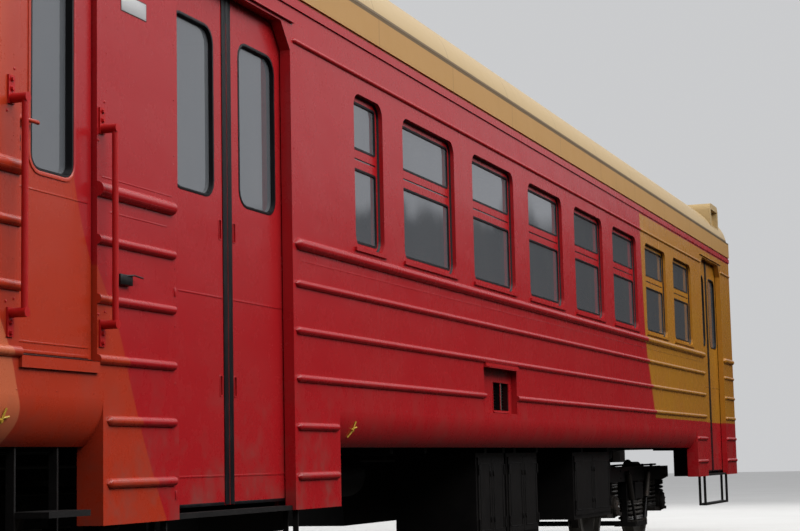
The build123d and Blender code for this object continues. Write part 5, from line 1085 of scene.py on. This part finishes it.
def cab_inside():
    """Desk panel with gauges and levers, and two padded seats, in place of the plain cab solids."""
    desk, metal, pads = Form(), Form(), Form()
    outline = ((8.900, 0.001), (9.350, 0.001), (9.350, 0.760), (9.200, 0.876), (8.782, 0.758), (8.782, 0.702),
               (8.900, 0.660))

    def at(x, y, height):
        return Vector((x, y, FLOOR_TOP + height))

    desk.loft([[at(x, y, z) for x, z in outline] for y in (-1.048, 1.048)], caps=True)
    slope = Vector((0.418, 0, 0.118)).normalized()
    out = Vector((-slope.z, 0, slope.x))
    gauge = ((0, 0.052), (0.012, 0.050), (0.014, 0.040), (0.010, 0.038))
    for y in (-0.78, -0.62, 0.62, 0.78):
        metal.turned(at(9.10, y, 0.849) + out * 0.0005, out, gauge, 24)
    for y in [-0.35 + 0.07 * k for k in range(11)]:
        metal.turned(at(8.98, y, 0.815) + out * 0.0005, out, ((0, 0.010), (0.010, 0.008)), 12)
    metal.tube([at(8.90, 0.45, 0.790), at(8.88, 0.45, 0.870), at(8.86, 0.45, 0.885)], 0.010, 10)
    knob = ((-0.02, 0.008), (0, 0.022), (0.02, 0.020), (0.028, 0.008))
    metal.turned(at(8.86, 0.45, 0.885), (-0.2, 0, 1), knob, 16)
    x = 8.200
    post = ((0, 0.058), (0.010, 0.056), (0.020, 0.036), (0.390, 0.034))
    lean = Vector((-0.075, 0, 0.52)).normalized()
    ahead = Vector((lean.z, 0, -lean.x))
    for y in (-0.7, 0.7):
        metal.turned(at(x, y, 0.001), (0, 0, 1), post, 20)
        metal.block(at(x - 0.200, y - 0.200, 0.392), at(x + 0.220, y + 0.200, 0.408), 0.004)
        pad(pads, at(x - 0.205, y - 0.220, 0.408), (0, 1, 0), (1, 0, 0), (0, 0, 1), 0.440, 0.445, 0.078, 2)
        pad(pads, at(x - 0.228, y - 0.210, 0.490), (0, 1, 0), lean, (lean.z, 0, -lean.x), 0.420, 0.560, 0.066, 2)
        metal.tube([at(x - 0.18, y, 0.40), at(x - 0.246, y, 0.50), at(x - 0.302, y, 1.02)], 0.012, 8)
    desk.piece("cab_desk", DESK, "desk", replaced=("cab_fittings",))
    metal.piece("cab_controls", DARK_METAL, "black_paint", replaced=("cab_fittings",))
    made = pads.piece("cab_seat_pads", SEAT, "seat", replaced=("cab_fittings",))


def rear_end():
    """Rivets, door rubber and lever, and grab rails on the rear end."""
    paint, rubber, steel = Form(), Form(), Form()
    face = -9.8005
    for y in (-0.60, 0.60, -1.20, 1.20):
        for k in range(12):
            paint.rivet((face, y, 1.46 + 0.175 * k), (-1, 0, 0), 0.004)
    for y in (-0.90, 0.90):
        paint.block((face, y - 0.012, 1.42), (face - 0.006, y + 0.012, 3.55), 0.002)
    for z in (1.75, 2.50, 3.25):
        for half in (-1, 1):
            paint.block((face, half * 0.62, z - 0.010), (face - 0.006, half * 1.55, z + 0.010), 0.002)
    paint.piece("end_rivets", BODY, "red_paint")
    for half in (-1, 1):
        y = half * 1.45
        steel.tube([(face, y, 1.62), (face - 0.055, y, 1.64), (face - 0.055, y, 2.50), (face, y, 2.52)], 0.012, 10)
    steel.piece("end_grab_rails", HANDRAIL, "rail_paint")
    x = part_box("end_door")[0].x
    loops = []
    for grow, depth in (
        (0.016, 0.0004), (0.014, 0.005), (0.002, 0.006), (-0.008, 0.004), (-0.011, -0.026), (0.0, -0.026),
    ):
        loop = rounded((-0.190 - grow, 0.190 + grow), (2.300 - grow, 3.150 + grow), 0.060 + grow, 0)
        loops.append([(x - depth, a, z) for a, _, z in loop])
    rubber.loft(loops, round_about=True)
    rubber.piece("end_door_rubber", RUBBER, "rubber", "end_door")
    lever = Form()
    lever.block((x + 0.0005, -0.315, 2.16), (x - 0.004, -0.283, 2.30), 0.002)
    lever.tube([(x, -0.299, 2.25), (x - 0.035, -0.299, 2.25), (x - 0.036, -0.200, 2.235)], 0.007, 10)
    lever.piece("end_door_lever", STEEL, "steel", "end_door")


def levers():
    """Small yellow levers on the lower curve of the walls."""
    form = Form()
    for side, way in SIDES.items():
        skin = skin_tree(f"side_panels_{side}")

        def on_wall(x, z, proud):
            hit, normal, _, _ = skin.ray_cast(Vector((x, way * 3, z)), Vector((0, -way, 0)))
            return hit + (normal if normal.y * way > 0 else -normal) * proud

        for x in (3.550, 7.180):
            handle = ((0.02, 1.185, 0.004), (0, 1.225, 0.008), (-0.015, 1.278, 0.007))
            form.tube([on_wall(x + dx, z, proud) for dx, z, proud in handle], 0.0045, 8)
            form.tube([on_wall(x, 1.238, 0.007), on_wall(x - 0.045, 1.246, 0.007)], 0.004, 8)
            form.rod(on_wall(x, 1.230, -0.003), on_wall(x, 1.230, 0.013), 0.008, 12)
    form.piece("cock_levers", LEVER_YELLOW, "steel")


side_window_trim()
for door_place in DOOR_CENTRES:
    for door_side in SIDES:
        for leaf_half in ("lead", "follow"):
            leaf_trim(door_place, door_side, leaf_half)
for door_side in SIDES:
    service_door_trim(door_side)
rib_beads()
handrail_bolts()
bogie_springs()
benches()
windscreen_trim()
lamp_trim()
wall_fittings()
intake_frames()
cabinet_trim()
bogie_fittings()
saloon_fittings()
cab_inside()
rear_end()
levers()


# Floor, light and camera

def stage_floor():
    mesh = bpy.data.meshes.new("studio_floor")
    half = 90
    mesh.from_pydata([(-half, -half, 0), (half, -half, 0), (half, half, 0), (-half, half, 0)], [], [(0, 1, 2, 3)])
    mesh.materials.append(floor_paint())
    floor = in_scene("studio_floor", mesh)
    floor.visible_glossy = False
    floor.visible_diffuse = False


def soft_light(name, place, target, size, power, mirrored=True):
    data = bpy.data.lights.new(name, "AREA")
    data.shape = "RECTANGLE"
    data.size, data.size_y = size
    data.energy = power
    lamp = in_scene(name, data)
    lamp.location = place
    lamp.visible_glossy = mirrored
    lamp.rotation_euler = (Vector(target) - Vector(place)).to_track_quat("-Z", "Y").to_euler()


def sky():
    """Overcast sky over a dark skyline, which light the car, and a plain pale backdrop behind it."""
    world = bpy.data.worlds.new("studio_sky")
    world.use_nodes = True
    shade = Shade("sky_nodes", world.node_tree)
    _, _, up = shade.xyz()
    skyline = shade.math("ADD", shade.times(shade.noise(9, 5, 0.7, (1, 1, 0.2)), 0.17), 0.058)
    above = shade.step(shade.math("SUBTRACT", up, skyline), -0.004, 0.010)
    clouds = shade.mix(shade.step(up, 0.1, 0.9), srgb(206, 208, 214), srgb(236, 238, 242))
    scene_light = shade.mix(above, srgb(44, 42, 40), clouds)
    seen = shade.node("ShaderNodeLightPath").outputs["Is Camera Ray"]
    background = world.node_tree.nodes["Background"]
    shade.put(background.inputs["Color"], shade.mix(seen, scene_light, srgb(226, 227, 229)))
    background.inputs["Strength"].default_value = 0.78
    bpy.context.scene.world = world


CAMERA_PLACE = Vector((12.860, 5.517, 1.035))
CAMERA_YAW = math.radians(20.456)
CAMERA_PITCH = math.radians(6.588)
CAMERA_ROLL = math.radians(-1.208)
CAMERA_LENS = 76.5


def photo_camera():
    """Camera at the photographer's place, looking back along the car's left side."""
    level = math.cos(CAMERA_PITCH)
    ahead = Vector((-math.cos(CAMERA_YAW) * level, -math.sin(CAMERA_YAW) * level, math.sin(CAMERA_PITCH)))
    right = Vector((-math.sin(CAMERA_YAW), math.cos(CAMERA_YAW), 0))
    up = right.cross(ahead)
    across = right * math.cos(CAMERA_ROLL) + up * math.sin(CAMERA_ROLL)
    upward = up * math.cos(CAMERA_ROLL) - right * math.sin(CAMERA_ROLL)
    data = bpy.data.cameras.new("photo_camera")
    data.lens = CAMERA_LENS
    data.sensor_width = 36
    data.clip_end = 500
    camera = in_scene("photo_camera", data)
    turn = Matrix((across, upward, -ahead)).transposed()
    camera.matrix_world = Matrix.Translation(CAMERA_PLACE) @ turn.to_4x4()
    bpy.context.scene.camera = camera


stage_floor()
sky()
soft_light("overhead", (0, 7, 13), (0, 0, 2), (26, 8), 1300)
soft_light("left_high", (2, 15, 12), (0, 1.7, 2.2), (26, 7), 2700)
soft_light("right_high", (0, -14, 12), (0, -1.7, 2.2), (26, 7), 1700)
soft_light("nose_high", (21, -3, 8), (9.5, 0, 2), (8, 6), 420, mirrored=False)
soft_light("rear_high", (-21, 0, 8), (-9.8, 0, 2), (8, 6), 420, mirrored=False)
photo_camera()
